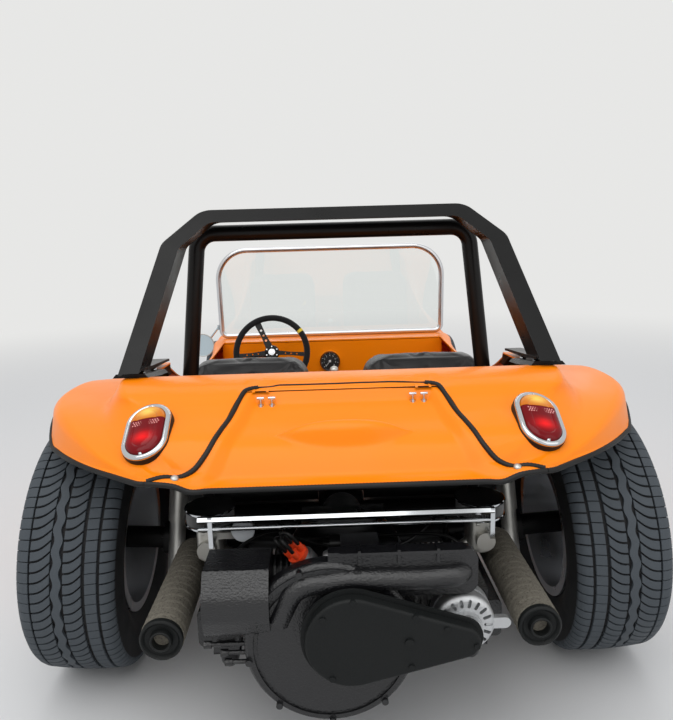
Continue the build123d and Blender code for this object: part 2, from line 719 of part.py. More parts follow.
def make_drop_arm():
    """The steering box's drop arm, its shaft up into the box and its pin down through the track rod."""
    x = BOX_POINT[0]
    y = BOX_POINT[1]
    arm = axis_box(x - 11, x + 11, y - STEER_ARM, y, ARM_Z, ARM_Z + STEER_ARM_T)
    boss = rod((x, y, ARM_Z), (x, y, ARM_Z + STEER_ARM_T), 16)
    eye = rod((x, y - STEER_ARM, ARM_Z), (x, y - STEER_ARM, ARM_Z + STEER_ARM_T), 11)
    shaft = rod((x, y, ARM_Z), (x, y, BOX_POINT[2] + 4), ARM_SHAFT_R)
    pin = rod((x, y - STEER_ARM, ROD_Z - ROD_R), (x, y - STEER_ARM, ARM_Z + 4), STEER_PIN_R - 1)
    return fused(arm, boss, eye, shaft, pin)


def column_plane():
    """A plane at the steering wheel's middle, facing the driver along the column."""
    back = Vector(*WHEEL_CENTRE) - Vector(*BOX_POINT)
    return Plane(origin=WHEEL_CENTRE, x_dir=(1, 0, 0), z_dir=back)


def make_steering_wheel():
    """The three-spoked wheel with its dished hub and the shaft into the column."""
    plane = column_plane()
    ring = plane * Torus(WHEEL_R - GRIP_R, GRIP_R)
    spokes = []
    for turn in (115.0, -5.0, 185.0):
        width = 26.0 if turn > 90 and turn < 180 else 18.0
        start = plane * Rot(0, 0, turn) * Pos((WHEEL_R - GRIP_R) / 2, 0, -6)
        spokes.append(start * Box(WHEEL_R - GRIP_R, width, 4))
    hub = plane * Pos(0, 0, -14) * Cylinder(36, 36)
    shaft_l = COLUMN_START + 120.0
    shaft = plane * Pos(0, 0, -shaft_l / 2) * Cylinder(COLUMN_BORE_R - FIT, shaft_l)
    return fused(ring, spokes, hub, shaft)


def make_column():
    """The column tube from behind the wheel to the steering box."""
    plane = column_plane()
    run = Vector(*WHEEL_CENTRE) - Vector(*BOX_POINT)
    tilt = math.atan2(run.Z, -run.Y)
    length = run.length - (BOX_R + SEAT_GAP + COLUMN_R * math.sin(tilt)) / math.cos(tilt)
    tube = plane * Pos(0, 0, -(COLUMN_START + length) / 2) * Cylinder(COLUMN_R, length - COLUMN_START)
    bore_l = 140.0
    bore = plane * Pos(0, 0, -COLUMN_START - bore_l / 2) * Cylinder(COLUMN_BORE_R, bore_l)
    stalk = plane * Pos(-70, 0, -COLUMN_START - 40) * Rot(0, 90, 0) * Cylinder(4, 120)
    return fused(tube - bore, stalk - plane * Pos(0, 0, -COLUMN_START - 40) * Cylinder(COLUMN_R - 1, 60))


def make_seat(side):
    """One bucket seat: the cushion and back as one closed form with rounded corners."""
    y0 = REAR_Y
    profile = [
        (1010, SEAT_BASE_Z),
        (1030, 405),
        (700, 372),
        (590, 720),
        (565, SEAT_TOP_Z),
        (470, SEAT_TOP_Z),
        (450, 730),
        (540, 420),
        (580, SEAT_BASE_Z),
    ]
    x = side * SEAT_X
    half = SEAT_W / 2
    path = FilletPolyline(*[(x - half, y0 + y, z) for y, z in profile], radius=20, close=True)
    side_form = extrude(make_face(path), SEAT_W, dir=(1, 0, 0))
    middle = (x, y0 + 1100, (SEAT_TOP_Z + SEAT_BASE_Z) / 2)
    front = Plane(origin=middle, x_dir=(1, 0, 0), z_dir=(0, -1, 0))
    outline = extrude(front * RectangleRounded(SEAT_W, SEAT_TOP_Z - SEAT_BASE_Z, SEAT_ROUND), 800)
    foot_half = half - 60
    foot = axis_box(x - foot_half, x + foot_half, y0 + 600, y0 + 980, PAN_TOP, SEAT_BASE_Z + 30)
    return (side_form & outline) + foot


def make_roll_tube():
    """The main hoop behind the seats, standing on foot plates on the pan."""
    y = REAR_Y + HOOP_DY
    foot_z = PAN_TOP + SEAT_GAP
    points = [
        (-HOOP_FOOT_X, y, foot_z + 4),
        (-HOOP_FOOT_X, y, 700),
        (-HOOP_TOP_X, y, HOOP_TOP_Z),
        (HOOP_TOP_X, y, HOOP_TOP_Z),
        (HOOP_FOOT_X, y, 700),
        (HOOP_FOOT_X, y, foot_z + 4),
    ]
    hoop = bent_tube(points, HOOP_R, [200, 60, 60, 200])
    feet = []
    for side in (-1, 1):
        x = side * (HOOP_FOOT_X - 8)
        feet.append(axis_box(x - 28, x + 28, y - 28, y + 60, foot_z, foot_z + 8))
    return fused(hoop, feet)


def make_roll_arch(outer):
    """The deep arch from the rear deck's corners, leaning forward over the hoop, with its feet."""
    foot, knee, top = (Vector(*p) for p in (ARCH_FOOT, ARCH_KNEE, ARCH_TOP))
    plane = Plane(origin=(0, foot.Y, foot.Z), x_dir=(1, 0, 0), z_dir=(0, foot.Z - top.Z, top.Y - foot.Y))
    slope = math.hypot(top.Y - foot.Y, top.Z - foot.Z)
    knee_v = slope * (knee.Z - foot.Z) / (top.Z - foot.Z)
    outside = [(foot.X, 0), (knee.X, knee_v), (top.X, slope)]
    inside = [
        (foot.X - ARCH_T, 0),
        (knee.X - ARCH_T, knee_v - ARCH_T * 0.4),
        (top.X - ARCH_T * 0.5, slope - ARCH_T),
    ]
    ring = outside + [(-x, v) for x, v in reversed(outside)]
    hole = [(-x, v) for x, v in inside] + [(x, v) for x, v in reversed(inside)]
    outline = ring + hole
    rounds = [0, ARCH_ROUND, ARCH_ROUND, ARCH_ROUND, ARCH_ROUND, 0, 0] + [ARCH_ROUND - 15] * 4 + [0]
    corners = [plane.from_local_coords((x, v)) for x, v in outline]
    path = FilletPolyline(*corners, radius=rounds, close=True)
    arch = extrude(make_face(path), ARCH_DEPTH, dir=(0, 1, 0))
    flanges = []
    for side in (-1, 1):
        x = side * (ARCH_FOOT[0] - ARCH_T / 2 - 4)
        flanges.append(axis_box(x - 24, x + 24, REAR_Y - 170, REAR_Y + 120, 812, 866))
    feet = fused(flanges) - outer.moved(Location((0, 0, SEAT_GAP)))
    top_cut = Plane(origin=(0, REAR_Y - 170, 862), z_dir=(0, 0.0923, 1))
    feet = feet - (top_cut * Pos(0, 0, 50) * Box(1400, 1400, 100))
    return (arch - outer.moved(Location((0, 0, SEAT_GAP)))) + feet


def make_screen():
    """The windscreen's round-tube frame on the cowl, and its flat glass."""
    y = REAR_Y + SCREEN_DY
    low = COWL_Z + SEAT_GAP + SCREEN_R
    points = [
        (-SCREEN_HALF_W, y, low),
        (SCREEN_HALF_W, y, low),
        (SCREEN_HALF_W, y, SCREEN_TOP_Z),
        (-SCREEN_HALF_W, y, SCREEN_TOP_Z),
    ]
    points = [(x, y - (z - low) * SCREEN_LEAN, z) for x, y, z in points]
    frame = tube_loop(points[1], points[2], SCREEN_R, SCREEN_LOW_ROUND, SCREEN_ROUND)
    inset = SCREEN_R + SEAT_GAP
    panes = []
    for x, y, z in points:
        sx = 1 if x > 0 else -1
        sz = 1 if z > low + 1 else -1
        panes.append((x - sx * inset, y + sz * inset * SCREEN_LEAN, z - sz * inset))
    rounds = [SCREEN_LOW_ROUND - inset] * 2 + [SCREEN_ROUND - inset] * 2
    path = FilletPolyline(*panes, radius=rounds, close=True)
    face = make_face(path)
    glass = extrude(face, GLASS_T / 2, both=True)
    return frame, glass


def make_dash():
    """The dash under the cowl's rear edge, with holes for the column and the gauge."""
    y = FRONT_Y + COCKPIT_FRONT_DY
    top = COWL_Z - BODY_WALL - SEAT_GAP
    plane = Plane(origin=(0, y + DASH_T + 1, (top + DASH_LOW_Z) / 2), x_dir=(1, 0, 0), z_dir=(0, -1, 0))
    panel = extrude(plane * RectangleRounded(2 * DASH_HALF_W, top - DASH_LOW_Z, 14), DASH_T)
    hole = rod(WHEEL_CENTRE, BOX_POINT, COLUMN_R + SEAT_GAP)
    return panel - hole


def make_gauge():
    """The round instrument on the dash: a bezel ring round a recessed dial."""
    x, z = GAUGE_PLACE
    y = FRONT_Y + COCKPIT_FRONT_DY + 1
    body = rod((x, y, z), (x, y - 14, z), GAUGE_R)
    recess = rod((x, y - 9, z), (x, y - 20, z), GAUGE_R - 6)
    return body - recess


def make_hand_levers():
    """The gear lever and the hand brake on the tunnel."""
    top = PAN_Z + TUNNEL_H
    lever_y = REAR_Y + 1130
    brake_y = REAR_Y + 980
    gear = fused(
        Location((0, lever_y, top + 10)) * Cylinder(28, 20),
        rod((0, lever_y, top + 10), (0, lever_y - 40, top + 230), 6),
        Location((0, lever_y - 40, top + 240)) * Sphere(20),
    )
    brake = fused(
        axis_box(-16, 16, brake_y - 20, brake_y + 20, top, top + 30),
        rod((0, brake_y, top + 20), (0, brake_y - 160, top + 130), 9),
    )
    return gear + brake


def make_pedals():
    """The three pedals on their floor mount."""
    y = FRONT_Y + PAN_FRONT_DY - 60
    parts = []
    for x in (-420.0, -330.0, -235.0):
        parts.append(axis_box(x - 10, x + 10, y - 30, y + 20, PAN_TOP, PAN_TOP + 30))
        parts.append(rod((x, y, PAN_TOP + 20), (x, y - 50, PAN_TOP + 150), 6))
        parts.append(Location((x, y - 56, PAN_TOP + 160), (-20, 0, 0)) * Box(56, 10, 60))
    parts.append(rod((-430, y, PAN_TOP + 20), (-225, y, PAN_TOP + 20), 8))
    return fused(parts)


def make_mirror():
    """The round mirror on its stalk from the windscreen's frame."""
    x, y, z = MIRROR_PLACE
    disc = rod((x, y, z), (x, y + 16, z), MIRROR_R)
    disc = fillet(disc.edges().sort_by(Axis.Y)[-1], 6)
    clamp_x = -SCREEN_HALF_W - SCREEN_R - SEAT_GAP
    clamp_z = COWL_Z + 60
    clamp_y = REAR_Y + SCREEN_DY - SCREEN_LEAN * 46
    clamp = axis_box(clamp_x - 8, clamp_x, clamp_y - 8, clamp_y + 8, clamp_z - 12, clamp_z + 12)
    return fused(disc, rod((x + 20, y + 12, z + 10), (clamp_x - 4, clamp_y, clamp_z), 5), clamp)


def make_headlamps():
    """The two lamp shells in the fenders' noses, and their domed lenses."""
    shells = []
    lenses = []
    for side in (-1, 1):
        x = side * LAMP_X
        shell = rod((x, LAMP_Y - 46, LAMP_Z), (x, LAMP_Y + 14, LAMP_Z), LAMP_R)
        shells.append(shell - rod((x, LAMP_Y - 36, LAMP_Z), (x, LAMP_Y + 20, LAMP_Z), LAMP_R - 8))
        dome_y = LAMP_Y + 10
        lens = rod((x, dome_y - 10, LAMP_Z), (x, dome_y, LAMP_Z), LAMP_R - 8 - SEAT_GAP)
        lens = lens + (
            Location((x, dome_y - 240, LAMP_Z)) * Sphere(254)
            & rod((x, dome_y - 5, LAMP_Z), (x, dome_y + 30, LAMP_Z), LAMP_R - 8 - SEAT_GAP)
        )
        lenses.append(lens)
    return Compound(shells), Compound(lenses)


def tail_plane(side):
    """The plane of a tail lamp on the rear panel, facing back and up, its long side upright."""
    face = Vector(side * TAIL_FACE[0], TAIL_FACE[1], TAIL_FACE[2])
    tall = Vector(side * TAIL_TALL[0], TAIL_TALL[1], TAIL_TALL[2])
    across = tall.cross(face)
    x, dy, z = TAIL_PLACE
    return Plane(origin=(side * x, REAR_Y + dy, z), x_dir=across, z_dir=face)


def make_tail_lamps(outer):
    """The chrome-edged bases seated on the rear panel, and their lenses."""
    bases = []
    lenses = []
    moved = outer.moved(Location((0, -SEAT_GAP, SEAT_GAP)))
    plane = tail_plane(-1)
    turn = plane * Rot(0, 0, 90)
    base = extrude(turn * Pos(0, 0, -60) * SlotOverall(TAIL_L, TAIL_W), 60 + TAIL_BASE)
    base = base - extrude(turn * Pos(0, 0, TAIL_BASE - 6) * SlotOverall(TAIL_L - 16, TAIL_W - 16), 20)
    base = (base - moved).solids().sort_by(SortBy.VOLUME)[-1]
    lens = extrude(turn * Pos(0, 0, TAIL_BASE - 6) * SlotOverall(TAIL_L - 17, TAIL_W - 17), 22) - moved
    return Compound(both_sides(base)), Compound(both_sides(lens))


def make_lid(skin_piece):
    """The engine lid with its raised boss and its hinge knuckles."""
    lid = skin_piece.solids().sort_by(SortBy.VOLUME)[-1]
    place = Location((0, REAR_Y + BOSS_DY, BOSS_Z), (BOSS_TILT, 0, 0))
    boss = place * scale(Sphere(50), (2.9, 0.66, 0.5))
    knuckles = []
    for x in HINGE_XS:
        y = REAR_Y + LID_HINGE_DY
        barrel = rod((x - 12, y, LID_HINGE_Z), (x + 12, y, LID_HINGE_Z), 6)
        leaf = axis_box(x - 12, x + 12, y - 26, y, LID_HINGE_Z - 24, LID_HINGE_Z)
        bore = rod((x - 40, y, LID_HINGE_Z), (x + 40, y, LID_HINGE_Z), HINGE_PIN_R + FIT)
        knuckles.append(fused(barrel, leaf) - bore)
    return lid, boss, knuckles


def make_hinges():
    """The hinge pins' ears on the deck above the lid."""
    ears = []
    for x in HINGE_XS:
        y = REAR_Y + LID_HINGE_DY
        for end in (-1, 1):
            x0 = x + end * 16
            ears.append(axis_box(x0 - 3, x0 + 3, y - 5, y + 30, LID_HINGE_Z - 6, LID_HINGE_Z + 5))
        ears.append(rod((x - 18, y, LID_HINGE_Z), (x + 18, y, LID_HINGE_Z), HINGE_PIN_R))
        ears.append(axis_box(x - 19, x + 19, y + 14, y + 30, LID_HINGE_Z - 14, LID_HINGE_Z - 2))
    return ears


def make_bumper():
    """The front bumper's tube loop on brackets from the beam, each with a tow eye."""
    y = FRONT_Y + FRONT_REACH - BUMPER_R
    loop = tube_loop((BUMPER_HALF_W, y, BUMPER_Z0), (BUMPER_HALF_W, y, BUMPER_Z1), BUMPER_R, 44, 44)
    parts = [loop]
    for side in (-1, 1):
        x = side * BRACKET_X
        root_y = FRONT_Y + BEAM_DY + BEAM_R + SEAT_GAP
        parts.append(rod((x, root_y, FRONT_Z - BEAM_RISE), (x, y, BUMPER_Z0), 16))
        parts.append(axis_box(x - EYE_T / 2, x + EYE_T / 2, y - 60, y, BUMPER_Z0 - 52, BUMPER_Z0))
    body = fused(parts)
    for side in (-1, 1):
        x = side * BRACKET_X
        body = body - rod((x - 30, y - 30, BUMPER_Z0 - 34), (x + 30, y - 30, BUMPER_Z0 - 34), EYE_R)
    return body


def make_transaxle():
    """The gearbox, final drive and bell housing."""
    drive = rod((-118, REAR_Y, GEAR_Z), (118, REAR_Y, GEAR_Z), 96)
    nose = rod((0, REAR_Y, GEAR_Z), (0, REAR_Y + TORSION_DY - TORSION_R - SEAT_GAP, GEAR_Z), 62)
    bell_form = [(0, 0), (0, 150), (40, 160), (140, 90), (160, 0)]
    bell = turned(bell_form, (0, REAR_Y + CASE_FRONT_DY, GEAR_Z), (0, 1, 0))
    return fused(drive, nose, bell)


def make_rear_axle():
    """The axle tubes with their spring plates, brake plates and stub shafts."""
    parts = []
    torsion_y = REAR_Y + TORSION_DY
    for side in (-1, 1):
        inner = (118 + SEAT_GAP) / math.cos(CAMBER_RAD) - REAR_X / math.cos(CAMBER_RAD)
        plate_a = plate_place(REAR_TYRE_W)
        tip = disc_place(REAR_TYRE_W) + 8
        tube = rod(along(side, inner + 4), along(side, plate_a), 30)
        plate = rod(along(side, plate_a), along(side, plate_a + PLATE_T), DRUM_R)
        stub = rod(along(side, plate_a), along(side, tip), SPINDLE_R)
        x0 = TORSION_HALF_L + SEAT_GAP
        spring_end = torsion_y + TORSION_R
        spring = axis_box(x0, x0 + 10, REAR_Y - 40, spring_end, TORSION_Z - 34, TORSION_Z + 34)
        spring = spring if side > 0 else mirror(spring, Plane.YZ)
        low_x = SHOCK_LOW_X - 20
        low_y = REAR_Y + SHOCK_DY - 12
        bracket = axis_box(low_x, low_x + 40, low_y, REAR_Y, SHOCK_LOW_Z - 12, SHOCK_LOW_Z + 60)
        bracket = bracket if side > 0 else mirror(bracket, Plane.YZ)
        flange_a = -AXLE_FLANGE_IN
        flange = rod(along(side, flange_a), along(side, flange_a + AXLE_FLANGE_T), AXLE_FLANGE_R)
        bolt_start = along(side, flange_a - 8)
        bolts = bolt_ring(bolt_start, axis_of(side), AXLE_FLANGE_R - 9, 5.0, AXLE_FLANGE_T + 16, 6)
        parts.append(fused(tube, plate, stub, spring, bracket, flange, bolts))
    return Compound(parts)


def make_shocks():
    """The rear shock absorbers, from the axle's brackets up to the towers."""
    parts = []
    for side in (-1, 1):
        low = Vector(side * SHOCK_LOW_X, REAR_Y + SHOCK_DY - 12 - 22 - SEAT_GAP, SHOCK_LOW_Z)
        high = Vector(side * SHOCK_TOP_X, REAR_Y + SHOCK_DY - 34, SHOCK_TOP_Z)
        d = (high - low).normalized()
        length = (high - low).length
        parts.append(
            fused(
                rod(low, low + d * (length * 0.55), 22),
                rod(low + d * (length * 0.5), low + d * (length * 0.92), 26),
                rod(low + d * (length * 0.9), high + d * 12, 14),
            )
        )
    return Compound(parts)


def make_engine_case():
    """The crankcase with its sump, its breather box and the flat rear face that carries the fan."""
    front = REAR_Y + CASE_FRONT_DY - SEAT_GAP
    rear = REAR_Y + CASE_REAR_DY
    block = axis_box(-CASE_HALF_W, CASE_HALF_W, rear, front, CASE_LOW, CASE_TOP)
    block = fillet(block.edges().filter_by(Axis.Y), 36)
    sump = axis_box(-100, 100, rear + 20, front - 30, SUMP_LOW, CASE_LOW + 20)
    sump = fillet(sump.edges().filter_by(Axis.Z), 20)
    fins = []
    for x in range(-80, 81, 20):
        fins.append(axis_box(x - 2, x + 2, rear + 30, front - 40, SUMP_LOW - 8, SUMP_LOW + 1))
    breather = axis_box(-10, 62, rear + 46, rear + 118, CASE_TOP - 10, CASE_TOP + 72)
    breather = fillet(breather.edges().filter_by(Axis.Z), 12)
    lid = axis_box(-16, 68, rear + 40, rear + 124, CASE_TOP + 72, CASE_TOP + 80)
    filler = rod((96, rear + 90, CASE_TOP - 30), (96, rear + 90, CASE_TOP + 46), 20)
    cap = rod((96, rear + 90, CASE_TOP + 46), (96, rear + 90, CASE_TOP + 60), 26)
    return fused(block, sump, fins, breather, lid, filler, cap)


def make_banks():
    """The two finned cylinder banks with their heads and rocker covers."""
    barrel_z = ENGINE_Z - 10
    parts = []
    for dy in CYLINDER_DYS:
        y = REAR_Y + dy
        parts.append(rod((CASE_HALF_W + SEAT_GAP, y, barrel_z), (HEAD_X + 6, y, barrel_z), CYLINDER_R))
        for i in range(FIN_COUNT):
            x = CASE_HALF_W + 8 + i * FIN_PITCH
            parts.append(rod((x, y, barrel_z), (x + FIN_T, y, barrel_z), FIN_R))
    rear = REAR_Y + HEAD_REAR_DY
    front = REAR_Y + HEAD_FRONT_DY
    parts.append(axis_box(HEAD_X, ROCKER_X, rear, front, HEAD_LOW, HEAD_TOP))
    cover = axis_box(ROCKER_X, ROCKER_X + ROCKER_T, rear + 12, front - 12, HEAD_LOW + 8, HEAD_TOP - 34)
    parts.append(fillet(cover.edges().filter_by(Axis.Y).sort_by(Axis.X)[-2:], 12))
    for i in range(4):
        z = HEAD_LOW + 22 + i * 28
        parts.append(axis_box(HEAD_X + 8, ROCKER_X - 8, rear - 6, rear + 1, z, z + 5))
    return Compound(both_sides(fused(parts)))


def fan_face():
    """The y of the cooling housing's rear face."""
    return REAR_Y + CASE_REAR_DY - SEAT_GAP - FAN_T


def make_fan_housing():
    """The cooling housing: the fan's drum and rim, the shroud with its air channel, and the tin."""
    fan_x, fan_z = FAN_PLACE
    front = fan_face() + FAN_T
    rear = fan_face()
    drum = rod((fan_x, front, fan_z), (fan_x, rear, fan_z), FAN_R)
    drum = fillet(drum.edges().sort_by(Axis.Y)[0], 14)
    dish = rod((fan_x, rear - 5, fan_z), (fan_x, rear + 12, fan_z), FAN_R - 3 * FAN_RIM)
    rim_end = (fan_x, front - FAN_T - 4, fan_z)
    rim = rod((fan_x, front, fan_z), rim_end, FAN_R - FAN_RIM, FAN_R - 2 * FAN_RIM)
    shroud = axis_box(fan_x, 262, rear + 8, front, 446, SHROUD_TOP)
    shroud = fillet(shroud.edges().filter_by(Axis.Y).sort_by(Axis.X)[-2:], 26)
    ribs = [axis_box(x - 3, x + 3, rear + 2, front, 520, SHROUD_TOP + 5) for x in (20, 100, 180)]
    ledge = axis_box(-20, 236, rear + 2, front, SHROUD_TOP - 5, SHROUD_TOP + 1)
    bed = rear + 3
    way = [(-150, bed, 400), (-112, bed, 478), (0, bed, 489), (150, bed, 486), (222, bed, 490)]
    channel = bent_tube(way + [(238, rear + 30, 494)], DUCT_R, [DUCT_TURN_R] * 3 + [24])
    cover_y = REAR_Y - REAR_REACH + COVER_T + SEAT_GAP
    spacer = rod((0, rear, COVER_PLACE[1]), (0, cover_y, COVER_PLACE[1]), SPACER_R)
    bosses = bolt_ring((fan_x, rear + 6, fan_z), (0, -1, 0), FAN_R - 8, 7, 16, 9)
    return fused(drum, dish, rim, shroud, ribs, ledge, channel, spacer, bosses, cooling_tin())


def cooling_tin():
    """The tin beside the fan's drum: a flat top over a bellied rear wall, with its stays and tubes."""
    low_x, high_x = TIN_X
    head = REAR_Y + HEAD_REAR_DY - SEAT_GAP - 6
    wall = [
        (REAR_Y - 440, 510),
        (REAR_Y - 538, 510),
        (REAR_Y - 574, 462),
        (REAR_Y - 578, 420),
        (REAR_Y - 560, 378),
        (REAR_Y - 520, 352),
        (head, 352),
        (head, HEAD_TOP + 6),
        (REAR_Y - 440, HEAD_TOP + 6),
    ]
    rounds = [2, 10, 40, 40, 40, 10, 2, 2, 2]
    outline = FilletPolyline(*[(low_x, y, z) for y, z in wall], radius=rounds, close=True)
    belly = extrude(make_face(outline), high_x - low_x, dir=(1, 0, 0))
    flange = extrude(make_face(outline), 6, dir=(1, 0, 0)).moved(Location((high_x - low_x, 0, 0)))
    stays = [axis_box(high_x - 4, -120, REAR_Y - 548, REAR_Y - 530, z - 6, z + 6) for z in (404, 452)]
    tubes = []
    for x0, x1, z in ((-310, -196, 338), (-276, -176, 318), (-268, -176, 296)):
        tubes.append(rod((x0, REAR_Y - 528, z), (x1, REAR_Y - 528, z), 5))
        tubes.append(rod((x0, REAR_Y - 528, z), (x0 + 16, REAR_Y - 528, z), 8))
    web = axis_box(-206, -190, REAR_Y - 536, REAR_Y - 521, 292, 356)
    return [belly, flange, *stays, *tubes, web]


def make_belt_cover():
    """The teardrop belt cover at the very back: a raised face inside a flange, with its screws."""
    y = REAR_Y - REAR_REACH
    plane = Plane(origin=(0, y + COVER_T, 0), x_dir=(1, 0, 0), z_dir=(0, -1, 0))
    flange = extrude(plane * teardrop(0.0), COVER_FLANGE_T)
    face = extrude(plane * teardrop(COVER_STEP), COVER_T - 4)
    face = fillet(face.faces().sort_by(Axis.Y)[0].edges(), 7)
    screws = [rod((x, y + 12, z), (x, y + 1, z), 6) for x, z in COVER_SCREWS]
    nub = rod((112, y + 12, 384), (112, y, 384), 9)
    return fused(flange, face, screws, nub)


def teardrop(inset):
    """The outline round the fan's pulley and the alternator's, drawn in by an inset."""
    big = Pos(*COVER_PLACE) * Circle(COVER_R - inset)
    small = Pos(*COVER_TIP) * Circle(COVER_TIP_R - inset)
    return make_hull([*big.edges(), *small.edges()])


def make_alternator():
    """The alternator on the head's rear face, with its slotted end and the boss of its bearing."""
    x, z = ALTERNATOR_PLACE
    front = REAR_Y + HEAD_REAR_DY - 6 - SEAT_GAP
    rear = front - 66
    body = rod((x, front, z), (x, rear, z), ALTERNATOR_R)
    body = fillet(body.edges().sort_by(Axis.Y)[0], 14)
    groove = rod((x, front - 24, z), (x, front - 32, z), ALTERNATOR_R + 5, ALTERNATOR_R - 4)
    nose = rod((x, rear, z), (x, rear - 18, z), 34)
    ear_x = x + 84
    ears = [
        axis_box(x + 44, ear_x, rear + 4, rear + 18, z - 12, z + 12),
        rod((ear_x, rear + 4, z), (ear_x, rear + 18, z), 12),
    ]
    plane = Plane(origin=(x, rear + 14, z), x_dir=(1, 0, 0), z_dir=(0, -1, 0))
    slots = []
    for i in range(ALTERNATOR_SLOTS):
        turn = plane * Rot(0, 0, i * 360.0 / ALTERNATOR_SLOTS) * Pos(48, 0)
        slots.append(extrude(turn * SlotOverall(18, 7), 30))
    return fused(body - groove - slots, nose, ears)


def make_carburettors():
    """The two carburettors on their manifolds over the heads, and the round damper at the left one."""
    y = REAR_Y + CARB_DY
    parts = []
    for side in (-1, 1):
        x = side * CARB_X
        leg = rod((side * LEG_X, y, HEAD_TOP + 13), (side * (CARB_X - 18), y, CARB_LOW + 10), LEG_R)
        foot_x = side * LEG_X
        foot = axis_box(foot_x - 24, foot_x + 16, y - 26, y + 26, HEAD_TOP + SEAT_GAP, HEAD_TOP + 14)
        body = axis_box(x - CARB_HALF, x + CARB_HALF, y - CARB_HALF, y + CARB_HALF, CARB_LOW, CARB_TOP)
        body = fillet(body.edges().filter_by(Axis.Z), 14)
        face = y - CARB_HALF
        bowl_x = x + side * 6
        bowl = rod((bowl_x, face + 6, CARB_LOW + 26), (bowl_x, face - 16, CARB_LOW + 26), 22)
        jet = rod((x - 16, face - 8, CARB_TOP - 10), (x + 16, face - 8, CARB_TOP - 10), 4)
        lug = axis_box(x - 8, x + 8, face - 12, face + 4, CARB_TOP - 14, CARB_TOP - 6)
        collar = rod((x, y, CARB_LOW - 8), (x, y, CARB_LOW + 4), CARB_HALF)
        extras = []
        if side < 0:
            damper_x = x + 82
            damper_y = face - 14
            level = CARB_TOP - 2
            extras.append(rod((damper_x, damper_y, level), (damper_x, damper_y + 16, level), 27))
            extras.append(axis_box(x + 20, damper_x, damper_y + 8, damper_y + 18, level - 24, level - 8))
        parts.append(fused(leg, foot, body, bowl, jet, lug, collar, extras))
    return Compound(parts)


def make_air_filters():
    """The two round air filters on the carburettors, pleated between two rims."""
    parts = []
    low = CARB_TOP + SEAT_GAP
    for side in (-1, 1):
        place = (side * CARB_X, REAR_Y + CARB_DY, low)
        profile = [
            (0, 0),
            (0, FILTER_R),
            (7, FILTER_R),
            (9, FILTER_R - 5),
            (FILTER_H - 9, FILTER_R - 5),
            (FILTER_H - 7, FILTER_R),
            (FILTER_H - 2, FILTER_R),
            (FILTER_H, FILTER_R - 4),
            (FILTER_H, 0),
        ]
        parts.append(turned(profile, place, (0, 0, 1)))
    return Compound(parts)


def make_linkage():
    """The two throttle cross bars, on brackets at the carburettors."""
    y = REAR_Y + BAR_DY
    parts = []
    bars = Plane(origin=(0, y, BAR_HIGH_Z), x_dir=(0, 1, 0), z_dir=(1, 0, 0))
    half = CARB_X + 16
    parts.append(extrude(bars * RegularPolygon(9, 6), half, both=True))
    parts.append(rod((-half, y, BAR_LOW_Z), (half, y, BAR_LOW_Z), 5))
    face = REAR_Y + CARB_DY - CARB_HALF - SEAT_GAP
    for side in (-1, 1):
        x = side * CARB_X + 12
        parts.append(axis_box(x - 5, x + 5, y - 7, face, CARB_TOP - 28, CARB_TOP - 20))
        parts.append(axis_box(x - 5, x + 5, y - 7, y + 7, CARB_TOP - 28, BAR_HIGH_Z + 8))
    return fused(parts)


def make_distributor():
    """The tilted distributor with its towered cap, its clip and the vacuum can."""
    d = Vector(*DIST_LEAN).normalized()
    lift = DIST_R * math.sqrt(1 - d.Z**2)
    foot = Vector(DIST_FOOT[0], REAR_Y + DIST_FOOT[1], CASE_TOP + SEAT_GAP + lift)
    body = rod(foot, foot + d * 40, DIST_R)
    cap = rod(foot + d * 36, foot + d * 58, DIST_CAP_R)
    upper = rod(foot + d * 54, foot + d * 74, DIST_CAP_R - 6)
    towers = bolt_ring(foot + d * 70, d, DIST_CAP_R - 13, 6.0, 22.0, 4)
    middle = rod(foot + d * 70, foot + d * 84, 6)
    side = Vector(1, 0, 0) - d * d.X
    side = side.normalized()
    can_centre = foot + d * 22 + side * (DIST_R + 22)
    stem = rod(foot + d * 22, can_centre, 7)
    can = rod(can_centre, can_centre + side * 16, 18)
    return fused(body, cap, upper, towers, middle, stem, can)


def make_mufflers():
    """The two wrapped silencers with their end plates and outlets."""
    tube = [
        (160, 0),
        (160, MUFFLER_R - 14),
        (174, MUFFLER_R),
        (548, MUFFLER_R),
        (554, MUFFLER_R - 4),
        (548, MUFFLER_R - 8),
        (548, 24),
        (562, 24),
        (562, 17),
        (500, 17),
        (500, 0),
    ]
    parts = [turned(tube, (side * MUFFLER_X, REAR_Y, MUFFLER_Z), (0, -1, 0)) for side in (-1, 1)]
    return Compound(parts)


def make_headers():
    """The exhaust pipes: down from both ports of each head, forward, and round into the silencers."""
    parts = []
    for side in (-1, 1):
        x = side * HEADER_X
        top = HEAD_LOW - SEAT_GAP
        level = top - 44
        points = [
            (x, REAR_Y + CYLINDER_DYS[1] - 40, top),
            (x, REAR_Y + CYLINDER_DYS[1] - 40, level),
            (x, REAR_Y - 90, level),
            (side * MUFFLER_X, REAR_Y - 90, MUFFLER_Z),
            (side * MUFFLER_X, REAR_Y - 160 + SEAT_GAP, MUFFLER_Z),
        ]
        pipe = bent_tube(points, HEADER_R, [24, 34, 34])
        second_y = REAR_Y + CYLINDER_DYS[0]
        second = rod((x, second_y, top), (x, second_y, level), HEADER_R - 2)
        flange = axis_box(x - 30, x + 30, REAR_Y - 475, REAR_Y - 425, top - 7, top)
        parts.append(fused(pipe, second, flange))
    return Compound(parts)


